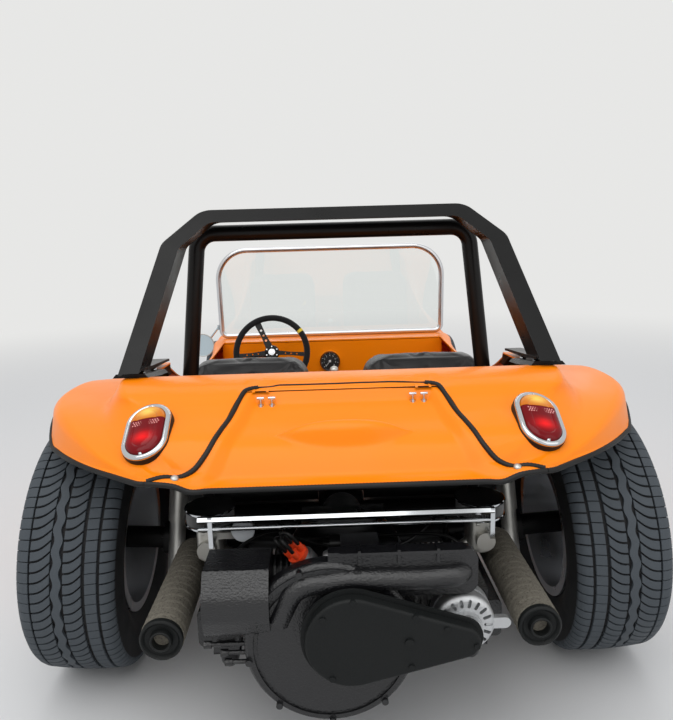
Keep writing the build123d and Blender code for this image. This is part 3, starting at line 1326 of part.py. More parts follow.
def make_leads():
    """The ignition coil on the crankcase and the leads from the distributor to it and to the heads."""
    d = Vector(*DIST_LEAN).normalized()
    lift = DIST_R * math.sqrt(1 - d.Z**2)
    foot = Vector(DIST_FOOT[0], REAR_Y + DIST_FOOT[1], CASE_TOP + SEAT_GAP + lift)
    ring = Plane(origin=foot + d * (DIST_TIP + SEAT_GAP), z_dir=d)
    coil_z = CASE_TOP + SEAT_GAP + COIL_R
    coil_y = REAR_Y + COIL_DY
    coil = rod((-40, coil_y, coil_z), (52, coil_y, coil_z), COIL_R)
    neck = rod((-56, coil_y, coil_z), (-40, coil_y, coil_z), 9)
    parts = [coil, neck]
    plug_z = HEAD_TOP + SEAT_GAP
    for i, (side, dy) in enumerate(PLUG_PLACES):
        start = (ring * Rot(0, 0, i * 90.0) * Pos(DIST_CAP_R - 13, 0)).position
        plug = Vector(side * PLUG_X, REAR_Y + dy, plug_z)
        under = Vector(-150 + i * 12, REAR_Y + BAR_DY - 16, BAR_LOW_Z - 22)
        over = Vector(side * 150, REAR_Y + LEAD_DY - i * 8, LEAD_Z - i * 10)
        out = [start, start + d * 9, start + d * 18, start + d * 27]
        down = [plug + Vector(0, 0, 70), plug + Vector(0, 0, 24)]
        parts.append(lead(out + [under, over] + down, LEAD_R))
        parts.append(rod(plug, plug + Vector(0, 0, 30), 8))
    return Compound(parts)


def lead(points, radius):
    """A smooth flexible lead through its points."""
    path = Spline(*points)
    return sweep(Plane(origin=path @ 0, z_dir=path % 0) * Circle(radius), path=path)


def make_nodes():
    """Every sub-part by its node's name."""
    outer, tub, lid_skin = make_body()
    lid, boss, knuckles = make_lid(lid_skin)
    screen_frame, screen_glass = make_screen()
    head_shells, head_lenses = make_headlamps()
    tail_bases, tail_lenses = make_tail_lamps(outer)
    nodes = {
        "body_tub": fused(tub, make_hinges()),
        "engine_lid": fused(lid, boss, knuckles),
        "windscreen_frame": screen_frame,
        "windscreen_glass": screen_glass,
        "headlamps": head_shells,
        "headlamp_lenses": head_lenses,
        "tail_lamp_bases": tail_bases,
        "tail_lamp_lenses": tail_lenses,
        "dash_panel": make_dash(),
        "gauge": make_gauge(),
        "mirror": make_mirror(),
        "roll_tube": make_roll_tube(),
        "roll_arch": make_roll_arch(outer),
        "floor_pan": make_floor_pan(),
        "front_beam": make_front_beam(),
        "knuckle_left": make_knuckle(-1),
        "knuckle_right": make_knuckle(1),
        "track_rod": make_track_rod(),
        "drop_arm": make_drop_arm(),
        "steering_wheel": make_steering_wheel(),
        "steering_column": make_column(),
        "seat_left": make_seat(-1),
        "seat_right": make_seat(1),
        "hand_levers": make_hand_levers(),
        "pedals": make_pedals(),
        "front_bumper": make_bumper(),
        "transaxle": make_transaxle(),
        "rear_axle": make_rear_axle(),
        "shock_absorbers": make_shocks(),
        "engine_case": make_engine_case(),
        "cylinder_banks": make_banks(),
        "fan_housing": make_fan_housing(),
        "belt_cover": make_belt_cover(),
        "alternator": make_alternator(),
        "carburettors": make_carburettors(),
        "air_filters": make_air_filters(),
        "throttle_bars": make_linkage(),
        "distributor": make_distributor(),
        "ignition_leads": make_leads(),
        "silencers": make_mufflers(),
        "exhaust_headers": make_headers(),
    }
    nodes.update(make_wheels())
    return nodes


os.makedirs("parts", exist_ok=True)
for node_name, node_shape in make_nodes().items():
    export_step(node_shape, "parts/" + node_name + ".step")
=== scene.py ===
"""Finish, trim and studio for the open two-seat dune buggy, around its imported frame."""

import json
import logging
import math
from collections.abc import Callable, Iterator
from contextlib import contextmanager
from dataclasses import dataclass, field
from enum import Enum

import bpy
from mathutils import Matrix, Vector
from mathutils.bvhtree import BVHTree


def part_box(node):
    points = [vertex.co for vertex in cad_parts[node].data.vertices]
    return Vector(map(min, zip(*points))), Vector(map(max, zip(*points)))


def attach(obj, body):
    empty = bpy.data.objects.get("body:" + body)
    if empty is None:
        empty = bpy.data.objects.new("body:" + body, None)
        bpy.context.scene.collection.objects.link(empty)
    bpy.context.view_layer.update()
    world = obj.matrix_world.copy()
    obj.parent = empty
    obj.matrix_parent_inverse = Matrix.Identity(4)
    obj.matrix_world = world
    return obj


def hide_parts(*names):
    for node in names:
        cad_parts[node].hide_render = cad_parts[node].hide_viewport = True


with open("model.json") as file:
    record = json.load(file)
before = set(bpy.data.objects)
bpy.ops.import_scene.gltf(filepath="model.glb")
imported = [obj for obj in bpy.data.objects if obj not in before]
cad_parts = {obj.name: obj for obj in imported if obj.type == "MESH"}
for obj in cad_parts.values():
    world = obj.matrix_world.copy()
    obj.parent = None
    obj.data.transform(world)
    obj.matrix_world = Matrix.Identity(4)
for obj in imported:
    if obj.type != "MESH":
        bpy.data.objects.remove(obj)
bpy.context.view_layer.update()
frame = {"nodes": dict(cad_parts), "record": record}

LOG = logging.getLogger("buggy")

# Places of the vehicle in metres, as the frame has them
REAR_AXLE_Y = -1.020
FRONT_AXLE_Y = 1.020
CAMBER = math.radians(3.0)

# The attribute that gives a piece's second colour, from 0 to 1: painted shade on the body's inner faces and
# painted glow in the tail lamps' lenses
PAINTED_LIGHT = "mark"

# Directions
RIGHT, AHEAD, BACK, UP = Vector((1, 0, 0)), Vector((0, 1, 0)), Vector((0, -1, 0)), Vector((0, 0, 1))

# Points closer than these, in metres, are one: in a new piece, and in a CAD node's copy
MERGE = 0.00001
MERGE_CAD = 0.00002

# Cosine of two directions that are too close to tell a cord's side from its run
NEARLY_PARALLEL = 0.95

# Steps between two given points of a smooth line, before it is evened out
PATH_STEPS = 16

# Sockets of a colour mix, which share their names with others
MIX_SHARE, MIX_FIRST, MIX_SECOND, MIX_RESULT = 0, 6, 7, 2

# Short names for types: a Profile's corners are (along an axis, radius) or (across, along), in metres
Piece, Node, Tree = bpy.types.Object, bpy.types.Node, bpy.types.NodeTree
Profile = tuple[tuple[float, float], ...]
Three = tuple[float, float, float]
Four = tuple[float, float, float, float]
Place = Colour = Three


class Side(Enum):
    """Which side of the vehicle a piece is on."""

    LEFT = -1
    RIGHT = 1

    @property
    def word(self) -> str:
        """The side's name in piece names."""
        return self.name.lower()


def tidy_selection() -> None:
    """Leaves object mode with nothing selected."""
    if bpy.context.object and bpy.context.object.mode != "OBJECT":
        bpy.ops.object.mode_set(mode="OBJECT")
    bpy.ops.object.select_all(action="DESELECT")


def pick(piece: Piece) -> None:
    """Selects one object alone and makes it active.

    Args:
        piece: The piece.
    """
    tidy_selection()
    piece.select_set(True)
    bpy.context.view_layer.objects.active = piece


@contextmanager
def editing(piece: Piece) -> Iterator[None]:
    """Edits one piece with all of its mesh selected, and leaves edit mode after.

    Args:
        piece: The piece.

    Yields:
        Nothing, while the piece is in edit mode.
    """
    pick(piece)
    bpy.ops.object.mode_set(mode="EDIT")
    bpy.ops.mesh.select_all(action="SELECT")
    yield
    bpy.ops.object.mode_set(mode="OBJECT")


def settle(name: str) -> Piece:
    """Names the active object and puts its place into its mesh.

    Args:
        name: The piece's name.

    Returns:
        The piece.
    """
    piece = bpy.context.object
    piece.name = piece.data.name = name
    bpy.ops.object.transform_apply(location=True, rotation=True, scale=True)
    return piece


def smooth(piece: Piece, degrees: float = 35.0) -> Piece:
    """Shades a piece smooth, with edges sharper than an angle left sharp.

    Args:
        piece: The piece.
        degrees: The angle.

    Returns:
        The piece.
    """
    pick(piece)
    bpy.ops.object.shade_smooth_by_angle(angle=math.radians(degrees))
    return piece


def apply_all(piece: Piece) -> Piece:
    """Applies every modifier of a piece in order.

    Args:
        piece: The piece.

    Returns:
        The piece.
    """
    pick(piece)
    for name in [m.name for m in piece.modifiers]:
        bpy.ops.object.modifier_apply(modifier=name)
    return piece


def aim(direction: Vector) -> Three:
    """Euler angles that turn +Z to a direction."""
    return tuple(Vector(direction).to_track_quat("Z", "Y").to_euler())


def edge_bevel(
    piece: Piece, width: float, segments: int = 1, angle: float | None = None
) -> None:
    """Adds a bevel to a piece's sharp edges.

    Args:
        piece: The piece.
        width: The bevel's width.
        segments: Its number of steps.
        angle: Edges sharper than this, in degrees, are bevelled. Without it, Blender's own angle holds.
    """
    bevel = piece.modifiers.new("edge", "BEVEL")
    bevel.width = width
    bevel.segments = segments
    bevel.limit_method = "ANGLE"
    if angle is not None:
        bevel.angle_limit = math.radians(angle)


def wall(piece: Piece, thickness: float) -> Piece:
    """Gives a sheet a wall on its inner side.

    Args:
        piece: The sheet.
        thickness: The wall's thickness.

    Returns:
        The piece.
    """
    solid = piece.modifiers.new("wall", "SOLIDIFY")
    solid.thickness = thickness
    solid.offset = -1.0
    return apply_all(piece)


def cylinder(
    name: str, start: Vector, end: Vector, radius: float, sides: int = 48, bevel: float = 0.0
) -> Piece:
    """A round bar between two points, its end edges rounded.

    Args:
        name: The piece's name.
        start: The middle of one end.
        end: The middle of the other end.
        radius: The bar's radius.
        sides: Facets round the bar.
        bevel: Width of the rounding at both end edges.

    Returns:
        The piece.
    """
    a, b = Vector(start), Vector(end)
    tidy_selection()
    bpy.ops.mesh.primitive_cylinder_add(
        vertices=sides, radius=radius, depth=(b - a).length, location=(a + b) / 2, rotation=aim(b - a)
    )
    piece = settle(name)
    if bevel > 0:
        edge_bevel(piece, bevel, segments=3, angle=60.0)
        apply_all(piece)
    return smooth(piece)


def join(name: str, pieces: list[Piece]) -> Piece:
    """Joins pieces into one mesh under a name.

    Args:
        name: The new name.
        pieces: The pieces.

    Returns:
        The joined piece.
    """
    tidy_selection()
    for piece in pieces:
        piece.select_set(True)
    bpy.context.view_layer.objects.active = pieces[0]
    if len(pieces) > 1:
        bpy.ops.object.join()
    piece = bpy.context.object
    piece.name = piece.data.name = name
    return piece


def node_copy(node: str, name: str, angle: float = 30.0) -> Piece:
    """A copy of a CAD node with its loose triangles merged and its curved faces smooth.

    Args:
        node: The CAD node.
        name: The copy's name.
        angle: Edges sharper than this, in degrees, stay sharp.

    Returns:
        The copy.
    """
    source = frame["nodes"][node]
    piece = source.copy()
    piece.data = source.data.copy()
    piece.name = piece.data.name = name
    bpy.context.collection.objects.link(piece)
    with editing(piece):
        bpy.ops.mesh.remove_doubles(threshold=MERGE_CAD)
    return smooth(piece, angle)


def dress(piece: Piece, material: bpy.types.Material) -> None:
    """Gives a piece one material."""
    piece.data.materials.clear()
    piece.data.materials.append(material)


def mark(piece: Piece, share: Callable[[Vector, Vector], float]) -> None:
    """Writes how far each point of a piece takes its finish's second colour, which is painted light.

    Args:
        piece: The piece.
        share: Gives the share from a point's place and normal.
    """
    layer = piece.data.attributes.new(PAINTED_LIGHT, "FLOAT", "POINT")
    for vertex, value in zip(piece.data.vertices, layer.data):
        value.value = share(vertex.co, vertex.normal)


def shift(piece: Piece, rule: Callable[[Vector, Vector], Vector]) -> None:
    """Moves every point of a piece, with all places and normals read before any moves.

    Args:
        piece: The piece.
        rule: Gives a point's new place from its place and normal.
    """
    fresh = [rule(vertex.co.copy(), vertex.normal.copy()) for vertex in piece.data.vertices]
    for vertex, place in zip(piece.data.vertices, fresh):
        vertex.co = place
    piece.data.update()


def smoothstep(low: float, high: float, value: float) -> float:
    """A soft step from 0 at low to 1 at high."""
    share = min(1.0, max(0.0, (value - low) / (high - low)))
    return share * share * (3.0 - 2.0 * share)


def curve_through(before: Vector, start: Vector, end: Vector, after: Vector, share: float) -> Vector:
    """A point of the smooth curve from a start to an end, also for plain numbers.

    Args:
        before: The point before the start.
        start: The start.
        end: The end.
        after: The point after the end.
        share: How far along the curve, from 0 to 1.

    Returns:
        The point.
    """
    return 0.5 * (
        2 * start
        + (end - before) * share
        + (2 * before - 5 * start + 4 * end - after) * share**2
        + (3 * start - before - 3 * end + after) * share**3
    )


def rounded_path(points: list[Vector], step: float, closed: bool = False) -> list[Vector]:
    """Points at an even step along a smooth line through the given points.

    Args:
        points: The points that the line passes through.
        step: Distance between the new points.
        closed: Whether the line returns to its start.

    Returns:
        The new points.
    """
    count = len(points)
    dense = []
    for i in range(count if closed else count - 1):
        near = [(i + k) % count if closed else min(max(i + k, 0), count - 1) for k in (-1, 0, 1, 2)]
        dense += [curve_through(*(points[n] for n in near), k / PATH_STEPS) for k in range(PATH_STEPS)]
    dense.append(points[0] if closed else points[-1])
    length = sum((q - p).length for p, q in zip(dense, dense[1:]))
    wanted = max(2, round(length / step))
    path, travelled, goal = [dense[0].copy()], 0.0, length / wanted
    for p, q in zip(dense, dense[1:]):
        run = (q - p).length
        while run > 0 and travelled + run >= goal - 1e-9 and len(path) < wanted + (0 if closed else 1):
            path.append(p.lerp(q, min(1.0, (goal - travelled) / run)))
            goal += length / wanted
        travelled += run
    return path[:wanted] if closed else path


def from_points(
    name: str, points: list[tuple], edges: list[tuple[int, int]], faces: list[tuple[int, ...]]
) -> Piece:
    """A piece from its points, edges and faces.

    Args:
        name: The piece's name.
        points: The places of its points.
        edges: Pairs of points.
        faces: Rings of points.

    Returns:
        The piece.
    """
    mesh = bpy.data.meshes.new(name)
    mesh.from_pydata(points, edges, faces)
    piece = bpy.data.objects.new(name, mesh)
    bpy.context.collection.objects.link(piece)
    return piece


def skinned(
    name: str, rings: list[list[Vector]], closed: bool = False, angle: float = 35.0
) -> Piece:
    """A skin over a row of rings that have equally many points, with both ends filled.

    Args:
        name: The piece's name.
        rings: The rings in order, each a list of points.
        closed: Whether the last ring joins the first.
        angle: Edges sharper than this, in degrees, stay sharp.

    Returns:
        The piece.
    """
    around = len(rings[0])
    vertices = [tuple(point) for ring in rings for point in ring]
    faces = []
    rows = len(rings)
    for i in range(rows if closed else rows - 1):
        for k in range(around):
            a, b = i * around + k, i * around + (k + 1) % around
            c, d = ((i + 1) % rows) * around + (k + 1) % around, ((i + 1) % rows) * around + k
            faces.append((a, b, c, d))
    if not closed:
        faces.append(tuple(reversed(range(around))))
        faces.append(tuple(range((rows - 1) * around, rows * around)))
    piece = from_points(name, vertices, [], faces)
    close_up(piece)
    return smooth(piece, angle)


def close_up(piece: Piece) -> None:
    """Merges doubled points and turns every face outwards.

    Args:
        piece: The piece.
    """
    with editing(piece):
        bpy.ops.mesh.remove_doubles(threshold=MERGE)
        bpy.ops.mesh.normals_make_consistent(inside=False)


def tube(
    name: str,
    points: list[Vector],
    radius: float,
    step: float = 0.01,
    sides: int = 12,
    rib: float = 0.0,
    closed: bool = False,
) -> Piece:
    """A round cord or pipe along a smooth line, ribbed if asked.

    Args:
        name: The piece's name.
        points: The points that its middle passes through.
        radius: Its radius.
        step: Distance between its rings.
        sides: Facets round it.
        rib: Share of the radius that every other ring is drawn in by.
        closed: Whether it returns to its start.

    Returns:
        The piece.
    """
    path = rounded_path([Vector(p) for p in points], step, closed)
    rings = []
    side = UP
    last = len(path)
    for i, point in enumerate(path):
        ahead = path[(i + 1) % last] if closed or i + 1 < last else point
        behind = path[i - 1] if closed or i > 0 else point
        along = (ahead - behind).normalized()
        if abs(along.dot(side)) > NEARLY_PARALLEL:
            side = RIGHT
        side = (side - along * side.dot(along)).normalized()
        other = along.cross(side)
        reach = radius * (1.0 - rib * (i % 2))
        turns = [math.tau * k / sides for k in range(sides)]
        rings.append([point + (side * math.cos(a) + other * math.sin(a)) * reach for a in turns])
    return skinned(name, rings, closed, angle=50.0)


class Surface:
    """The skin of some pieces, for finding places on it."""

    def __init__(self, *pieces: Piece) -> None:
        """Reads the pieces' faces.

        Args:
            pieces: The pieces.
        """
        vertices, faces = [], []
        for piece in pieces:
            start = len(vertices)
            vertices += [vertex.co.copy() for vertex in piece.data.vertices]
            faces += [tuple(start + k for k in polygon.vertices) for polygon in piece.data.polygons]
        self.tree = BVHTree.FromPolygons(vertices, faces)

    def cast(self, start: Vector, direction: Vector) -> tuple[Vector, Vector] | None:
        """The first point hit from a start, with the skin's normal there."""
        place, normal, _, _ = self.tree.ray_cast(Vector(start), Vector(direction))
        return None if place is None else (place, normal)

    def top(self, x: float, y: float, above: float = 1.0) -> float | None:
        """The skin's height at a place seen from above."""
        hit = self.cast(Vector((x, y, above)), -UP)
        return hit[0].z if hit else None


class Sheet:
    """A material's node tree with short calls to add and join nodes."""

    def __init__(self, name: str) -> None:
        """Starts an empty material with its surface shader and output.

        Args:
            name: The material's name.
        """
        self.material = bpy.data.materials.new(name)
        self.material.use_nodes = True
        self.tree = self.material.node_tree
        self.tree.nodes.clear()
        self.output = self.add("ShaderNodeOutputMaterial")
        self.shader = self.add("ShaderNodeBsdfPrincipled")
        self.link(self.shader, "BSDF", self.output, "Surface")
        self.coordinates = self.add("ShaderNodeTexCoord")

    def add(self, kind: str, **settings: object) -> Node:
        """Adds a node with its settings.

        Args:
            kind: Its type.
            settings: Its properties and their values.

        Returns:
            The node.
        """
        node = self.tree.nodes.new(kind)
        for key, value in settings.items():
            setattr(node, key, value)
        return node

    def link(self, start: Node, out: str | int, end: Node, into: str | int) -> None:
        """Joins one node's output to another's input."""
        self.tree.links.new(start.outputs[out], end.inputs[into])

    def group(self, tree: Tree, **values: float) -> Node:
        """Places a shared group with its own values and the piece's Object coordinates.

        Args:
            tree: The group.
            values: Its inputs, with _ for a space.

        Returns:
            The group's node.
        """
        node = self.add("ShaderNodeGroup", node_tree=tree)
        for key, value in values.items():
            node.inputs[key.replace("_", " ")].default_value = value
        self.link(self.coordinates, "Object", node, "Place")
        return node

    def mix(self, first: Colour, second: Colour, source: Node, out: str) -> None:
        """Feeds the base colour from two colours and a mask.

        Args:
            first: The colour where the mask is 0.
            second: The colour where the mask is 1.
            source: The node that gives the mask.
            out: Its output.
        """
        mix = self.add("ShaderNodeMix", data_type="RGBA")
        mix.inputs[MIX_FIRST].default_value = (*first, 1.0)
        mix.inputs[MIX_SECOND].default_value = (*second, 1.0)
        self.link(source, out, mix, MIX_SHARE)
        self.link(mix, MIX_RESULT, self.shader, "Base Color")


def wire(tree: Tree, links: list[tuple[Node, str, Node, str | int]]) -> None:
    """Joins nodes by rows of a node, its output, the next node and its input."""
    for start, out, end, into in links:
        tree.links.new(start.outputs[out], end.inputs[into])


def seen_rays(tree: Tree) -> bpy.types.NodeSocket:
    """A mask of the rays by which the eye, gloss and glass see.

    Args:
        tree: The node tree to build it in.

    Returns:
        The mask's socket.
    """
    path = tree.nodes.new("ShaderNodeLightPath")
    mask = path.outputs["Is Camera Ray"]
    for name in ("Is Glossy Ray", "Is Transmission Ray"):
        either = tree.nodes.new("ShaderNodeMath")
        either.operation = "MAXIMUM"
        tree.links.new(mask, either.inputs[0])
        tree.links.new(path.outputs[name], either.inputs[1])
        mask = either.outputs["Value"]
    return mask


def new_group(
    name: str, inputs: dict[str, float], outputs: list[tuple[str, str]]
) -> tuple[Tree, Node, Node]:
    """A shader node group with a Place vector and named number inputs.

    Args:
        name: The group's name.
        inputs: Number inputs by name, with their defaults.
        outputs: Output names with their socket kinds.

    Returns:
        The group, its input node and its output node.
    """
    tree = bpy.data.node_groups.new(name, "ShaderNodeTree")
    tree.interface.new_socket("Place", in_out="INPUT", socket_type="NodeSocketVector")
    for key, value in inputs.items():
        socket = tree.interface.new_socket(key, in_out="INPUT", socket_type="NodeSocketFloat")
        socket.default_value = value
    for key, kind in outputs:
        tree.interface.new_socket(key, in_out="OUTPUT", socket_type=kind)
    return tree, tree.nodes.new("NodeGroupInput"), tree.nodes.new("NodeGroupOutput")


@dataclass
class Effects:
    """The node groups that more than one finish uses."""

    grain: Tree = field(init=False)
    grime: Tree = field(init=False)

    def __post_init__(self) -> None:
        """Builds each group once."""
        self.grain = self._grain()
        self.grime = self._grime()

    @staticmethod
    def _grain() -> Tree:
        """Fine noise that gives a height and a roughness between two values.

        Returns:
            The group.
        """
        tree, start, end = new_group(
            "fine_grain",
            {"Scale": 400.0, "Detail": 3.0, "Low": 0.3, "High": 0.5},
            [("Height", "NodeSocketFloat"), ("Roughness", "NodeSocketFloat")],
        )
        noise = tree.nodes.new("ShaderNodeTexNoise")
        wide = tree.nodes.new("ShaderNodeTexNoise")
        wide.inputs["Scale"].default_value = 9.0
        wide.inputs["Detail"].default_value = 4.0
        spread = tree.nodes.new("ShaderNodeMapRange")
        spread.inputs["From Min"].default_value = 0.3
        spread.inputs["From Max"].default_value = 0.7
        wire(tree, [
            (start, "Place", noise, "Vector"), (start, "Scale", noise, "Scale"),
            (start, "Detail", noise, "Detail"), (start, "Place", wide, "Vector"),
            (wide, "Fac", spread, "Value"), (start, "Low", spread, "To Min"),
            (start, "High", spread, "To Max"),
            (noise, "Fac", end, "Height"), (spread, "Result", end, "Roughness"),
        ])
        return tree

    @staticmethod
    def _grime() -> Tree:
        """A mask of irregular patches, from none to all.

        Returns:
            The group.
        """
        tree, start, end = new_group(
            "grime_patches",
            {"Scale": 14.0, "Amount": 0.5, "Softness": 0.2},
            [("Mask", "NodeSocketFloat")],
        )
        noise = tree.nodes.new("ShaderNodeTexNoise")
        noise.inputs["Detail"].default_value = 8.0
        noise.inputs["Roughness"].default_value = 0.65
        flip = tree.nodes.new("ShaderNodeMath")
        flip.operation = "SUBTRACT"
        flip.inputs[0].default_value = 1.0
        top = tree.nodes.new("ShaderNodeMath")
        top.operation = "ADD"
        spread = tree.nodes.new("ShaderNodeMapRange")
        wire(tree, [
            (start, "Place", noise, "Vector"), (start, "Scale", noise, "Scale"), (start, "Amount", flip, 1),
            (flip, "Value", top, 0), (start, "Softness", top, 1), (noise, "Fac", spread, "Value"),
            (flip, "Value", spread, "From Min"), (top, "Value", spread, "From Max"),
            (spread, "Result", end, "Mask"),
        ])
        return tree


def lathe(
    name: str,
    profile: Profile,
    centre: Vector,
    direction: Vector,
    steps: int = 64,
    angle: float = 35.0,
) -> Piece:
    """Spins a profile round an axis into a closed form.

    Args:
        name: The piece's name.
        profile: Corners as (along the axis, radius), in metres.
        centre: The point of the axis that distances along it start from.
        direction: The axis.
        steps: Facets round the axis.
        angle: Edges sharper than this, in degrees, stay sharp.

    Returns:
        The piece.
    """
    points = [(radius, 0.0, along) for along, radius in profile]
    piece = from_points(name, points, [(i, i + 1) for i in range(len(points) - 1)], [])
    with editing(piece):
        bpy.ops.mesh.spin(steps=steps, angle=math.tau, center=(0, 0, 0), axis=(0, 0, 1))
    close_up(piece)
    piece.rotation_euler = aim(direction)
    piece.location = Vector(centre)
    bpy.ops.object.transform_apply(location=True, rotation=True, scale=True)
    return smooth(piece, angle)


@dataclass(frozen=True)
class Finish:
    """A surface: its colour, gloss, fine grain, the dirt that lies on it and, where it has one, a second
    colour of painted light.
    """

    name: str
    colour: Colour
    roughness: tuple[float, float] = (0.35, 0.45)
    metallic: float = 0.0
    coat: float = 0.0
    coat_roughness: float = 0.05
    grain: float = 400.0
    depth: float = 0.0
    transmission: float = 0.0
    dirt: float = 0.0
    dirt_scale: float = 30.0
    dirt_colour: Colour = (0.05, 0.045, 0.04)
    sheen: float = 0.0
    mark_colour: Colour | None = None
    specular: float = 0.5

    def build(self, effects: Effects) -> bpy.types.Material:
        """Makes the material.

        Args:
            effects: The shared node groups.

        Returns:
            The material.
        """
        sheet = Sheet(self.name)
        shader = sheet.shader.inputs
        shader["Metallic"].default_value = self.metallic
        shader["Coat Weight"].default_value = self.coat
        shader["Coat Roughness"].default_value = self.coat_roughness
        shader["Transmission Weight"].default_value = self.transmission
        shader["Sheen Weight"].default_value = self.sheen
        shader["Specular IOR Level"].default_value = self.specular
        grain = sheet.group(effects.grain, Scale=self.grain, Low=self.roughness[0], High=self.roughness[1])
        sheet.link(grain, "Roughness", sheet.shader, "Roughness")
        if self.depth:
            bump = sheet.add("ShaderNodeBump")
            bump.inputs["Strength"].default_value = 1.0
            bump.inputs["Distance"].default_value = self.depth
            sheet.link(grain, "Height", bump, "Height")
            sheet.link(bump, "Normal", sheet.shader, "Normal")
        # Painted light: a second colour mixed in by the piece's attribute, for painted shade and painted glow
        if self.mark_colour:
            painted_light_share = sheet.add("ShaderNodeAttribute", attribute_name=PAINTED_LIGHT)
            sheet.mix(self.colour, self.mark_colour, painted_light_share, "Fac")
        elif self.dirt:
            grime = sheet.group(effects.grime, Scale=self.dirt_scale, Amount=self.dirt)
            sheet.mix(self.colour, self.dirt_colour, grime, "Mask")
        else:
            shader["Base Color"].default_value = (*self.colour, 1.0)
        return sheet.material


FINISHES = (
    # The body's near-black second colour is painted shade on its inner faces
    Finish("body_gloss", (1.0, 0.245, 0.001), (0.32, 0.42), coat=0.12, specular=0.22, grain=260.0,
           depth=0.00012, mark_colour=(0.012, 0.012, 0.012)),
    Finish("black_vinyl", (0.007, 0.007, 0.008), (0.30, 0.42), specular=0.35, grain=900.0, depth=0.0003),
    Finish("black_steel", (0.006, 0.006, 0.006), (0.26, 0.40), specular=0.18, grain=600.0, depth=0.0001),
    Finish("black_cast", (0.007, 0.007, 0.008), (0.28, 0.5), specular=0.3, grain=500.0, depth=0.0004,
           dirt=0.35, dirt_colour=(0.022, 0.020, 0.018)),
    Finish("bright_alloy", (0.62, 0.63, 0.65), (0.25, 0.4), metallic=1.0, grain=500.0, depth=0.0001),
    Finish("chrome", (0.58, 0.60, 0.62), (0.06, 0.14), metallic=1.0),
    Finish("zinc_steel", (0.50, 0.49, 0.46), (0.3, 0.5), metallic=1.0, grain=500.0, depth=0.0002),
    Finish("tyre_rubber", (0.010, 0.010, 0.011), (0.55, 0.75), specular=0.3, grain=500.0, depth=0.0003),
    Finish("clear_glass", (0.95, 0.98, 0.97), (0.0, 0.02), transmission=1.0),
    # The red lens's bright second colour is a painted glow in its middle
    Finish("lamp_red", (0.16, 0.0, 0.003), (0.06, 0.12), specular=0.2, mark_colour=(0.90, 0.006, 0.008)),
    Finish("mirror_face", (0.50, 0.58, 0.62), (0.05, 0.12), metallic=1.0),
    Finish("wrap", (0.17, 0.155, 0.125), (0.8, 0.95), specular=0.2, grain=520.0, depth=0.0012, dirt=0.5,
           dirt_scale=220.0, dirt_colour=(0.035, 0.032, 0.028)),
    Finish("red_plastic", (0.62, 0.055, 0.012), (0.4, 0.55), grain=500.0, depth=0.0001, dirt=0.35),
    # The amber lens's bright second colour is a painted glow in its middle
    Finish("lamp_amber", (0.62, 0.16, 0.0), (0.06, 0.12), specular=0.4, mark_colour=(1.0, 0.62, 0.10)),
    # Pale pink beads: painted glints on the red lens's dimples
    Finish("lens_bead_glint", (0.95, 0.38, 0.36), (0.05, 0.1), coat=0.5),
    Finish("speckled_black", (0.006, 0.006, 0.007), (0.15, 0.28), specular=0.6, grain=230.0, depth=0.0022),
    Finish("cover_black", (0.007, 0.008, 0.008), (0.42, 0.6), specular=0.2, grain=420.0, depth=0.0009,
           dirt=0.35, dirt_scale=9.0, dirt_colour=(0.038, 0.040, 0.034)),
    Finish("rough_cast", (0.55, 0.56, 0.57), (0.4, 0.55), metallic=1.0, grain=420.0, depth=0.0011),
    Finish("pale_disc", (0.62, 0.64, 0.66), (0.35, 0.5), grain=300.0, depth=0.0001),
    Finish("pleats", (0.16, 0.16, 0.16), (0.5, 0.65), metallic=0.6, grain=400.0, depth=0.0004),
    Finish("yellow_cloth", (0.75, 0.55, 0.03), (0.7, 0.85), grain=900.0, depth=0.0003),
    Finish("dial_face", (0.012, 0.012, 0.012), (0.5, 0.6), grain=500.0, depth=0.0001),
    Finish("dial_ink", (0.8, 0.8, 0.78), (0.5, 0.6)),
    Finish("black_rubber", (0.006, 0.006, 0.006), (0.4, 0.6), specular=0.3, grain=500.0, depth=0.0002),
    # Lighter bluish grey than the casing: painted sheen on the tread blocks' faces over the rubber's own
    # near-black
    Finish("tread_rubber_sheen", (0.060, 0.070, 0.080), (0.6, 0.8), specular=0.3, grain=500.0, depth=0.0004),
    Finish("suede", (0.009, 0.009, 0.010), (0.85, 0.95), specular=0.2, grain=900.0, depth=0.0005, sheen=0.15),
)


# Nodes whose surface is coarser or duller than their material slot's
ENGINE_FINISHES = {
    "fan_housing": "speckled_black",
    "cylinder_banks": "speckled_black",
    "belt_cover": "cover_black",
    "alternator": "rough_cast",
    "distributor": "distributor_pair",
}

# The distributor's axis, where its cap meets its body on it, and the colours of body and cap
DISTRIBUTOR_AXIS = (-0.523, -0.281, 0.804)
DISTRIBUTOR_SPLIT = (-0.090, REAR_AXLE_Y - 0.458, 0.514)
DISTRIBUTOR_BODY = (0.33, 0.34, 0.35)
DISTRIBUTOR_CAP = (0.70, 0.055, 0.010)


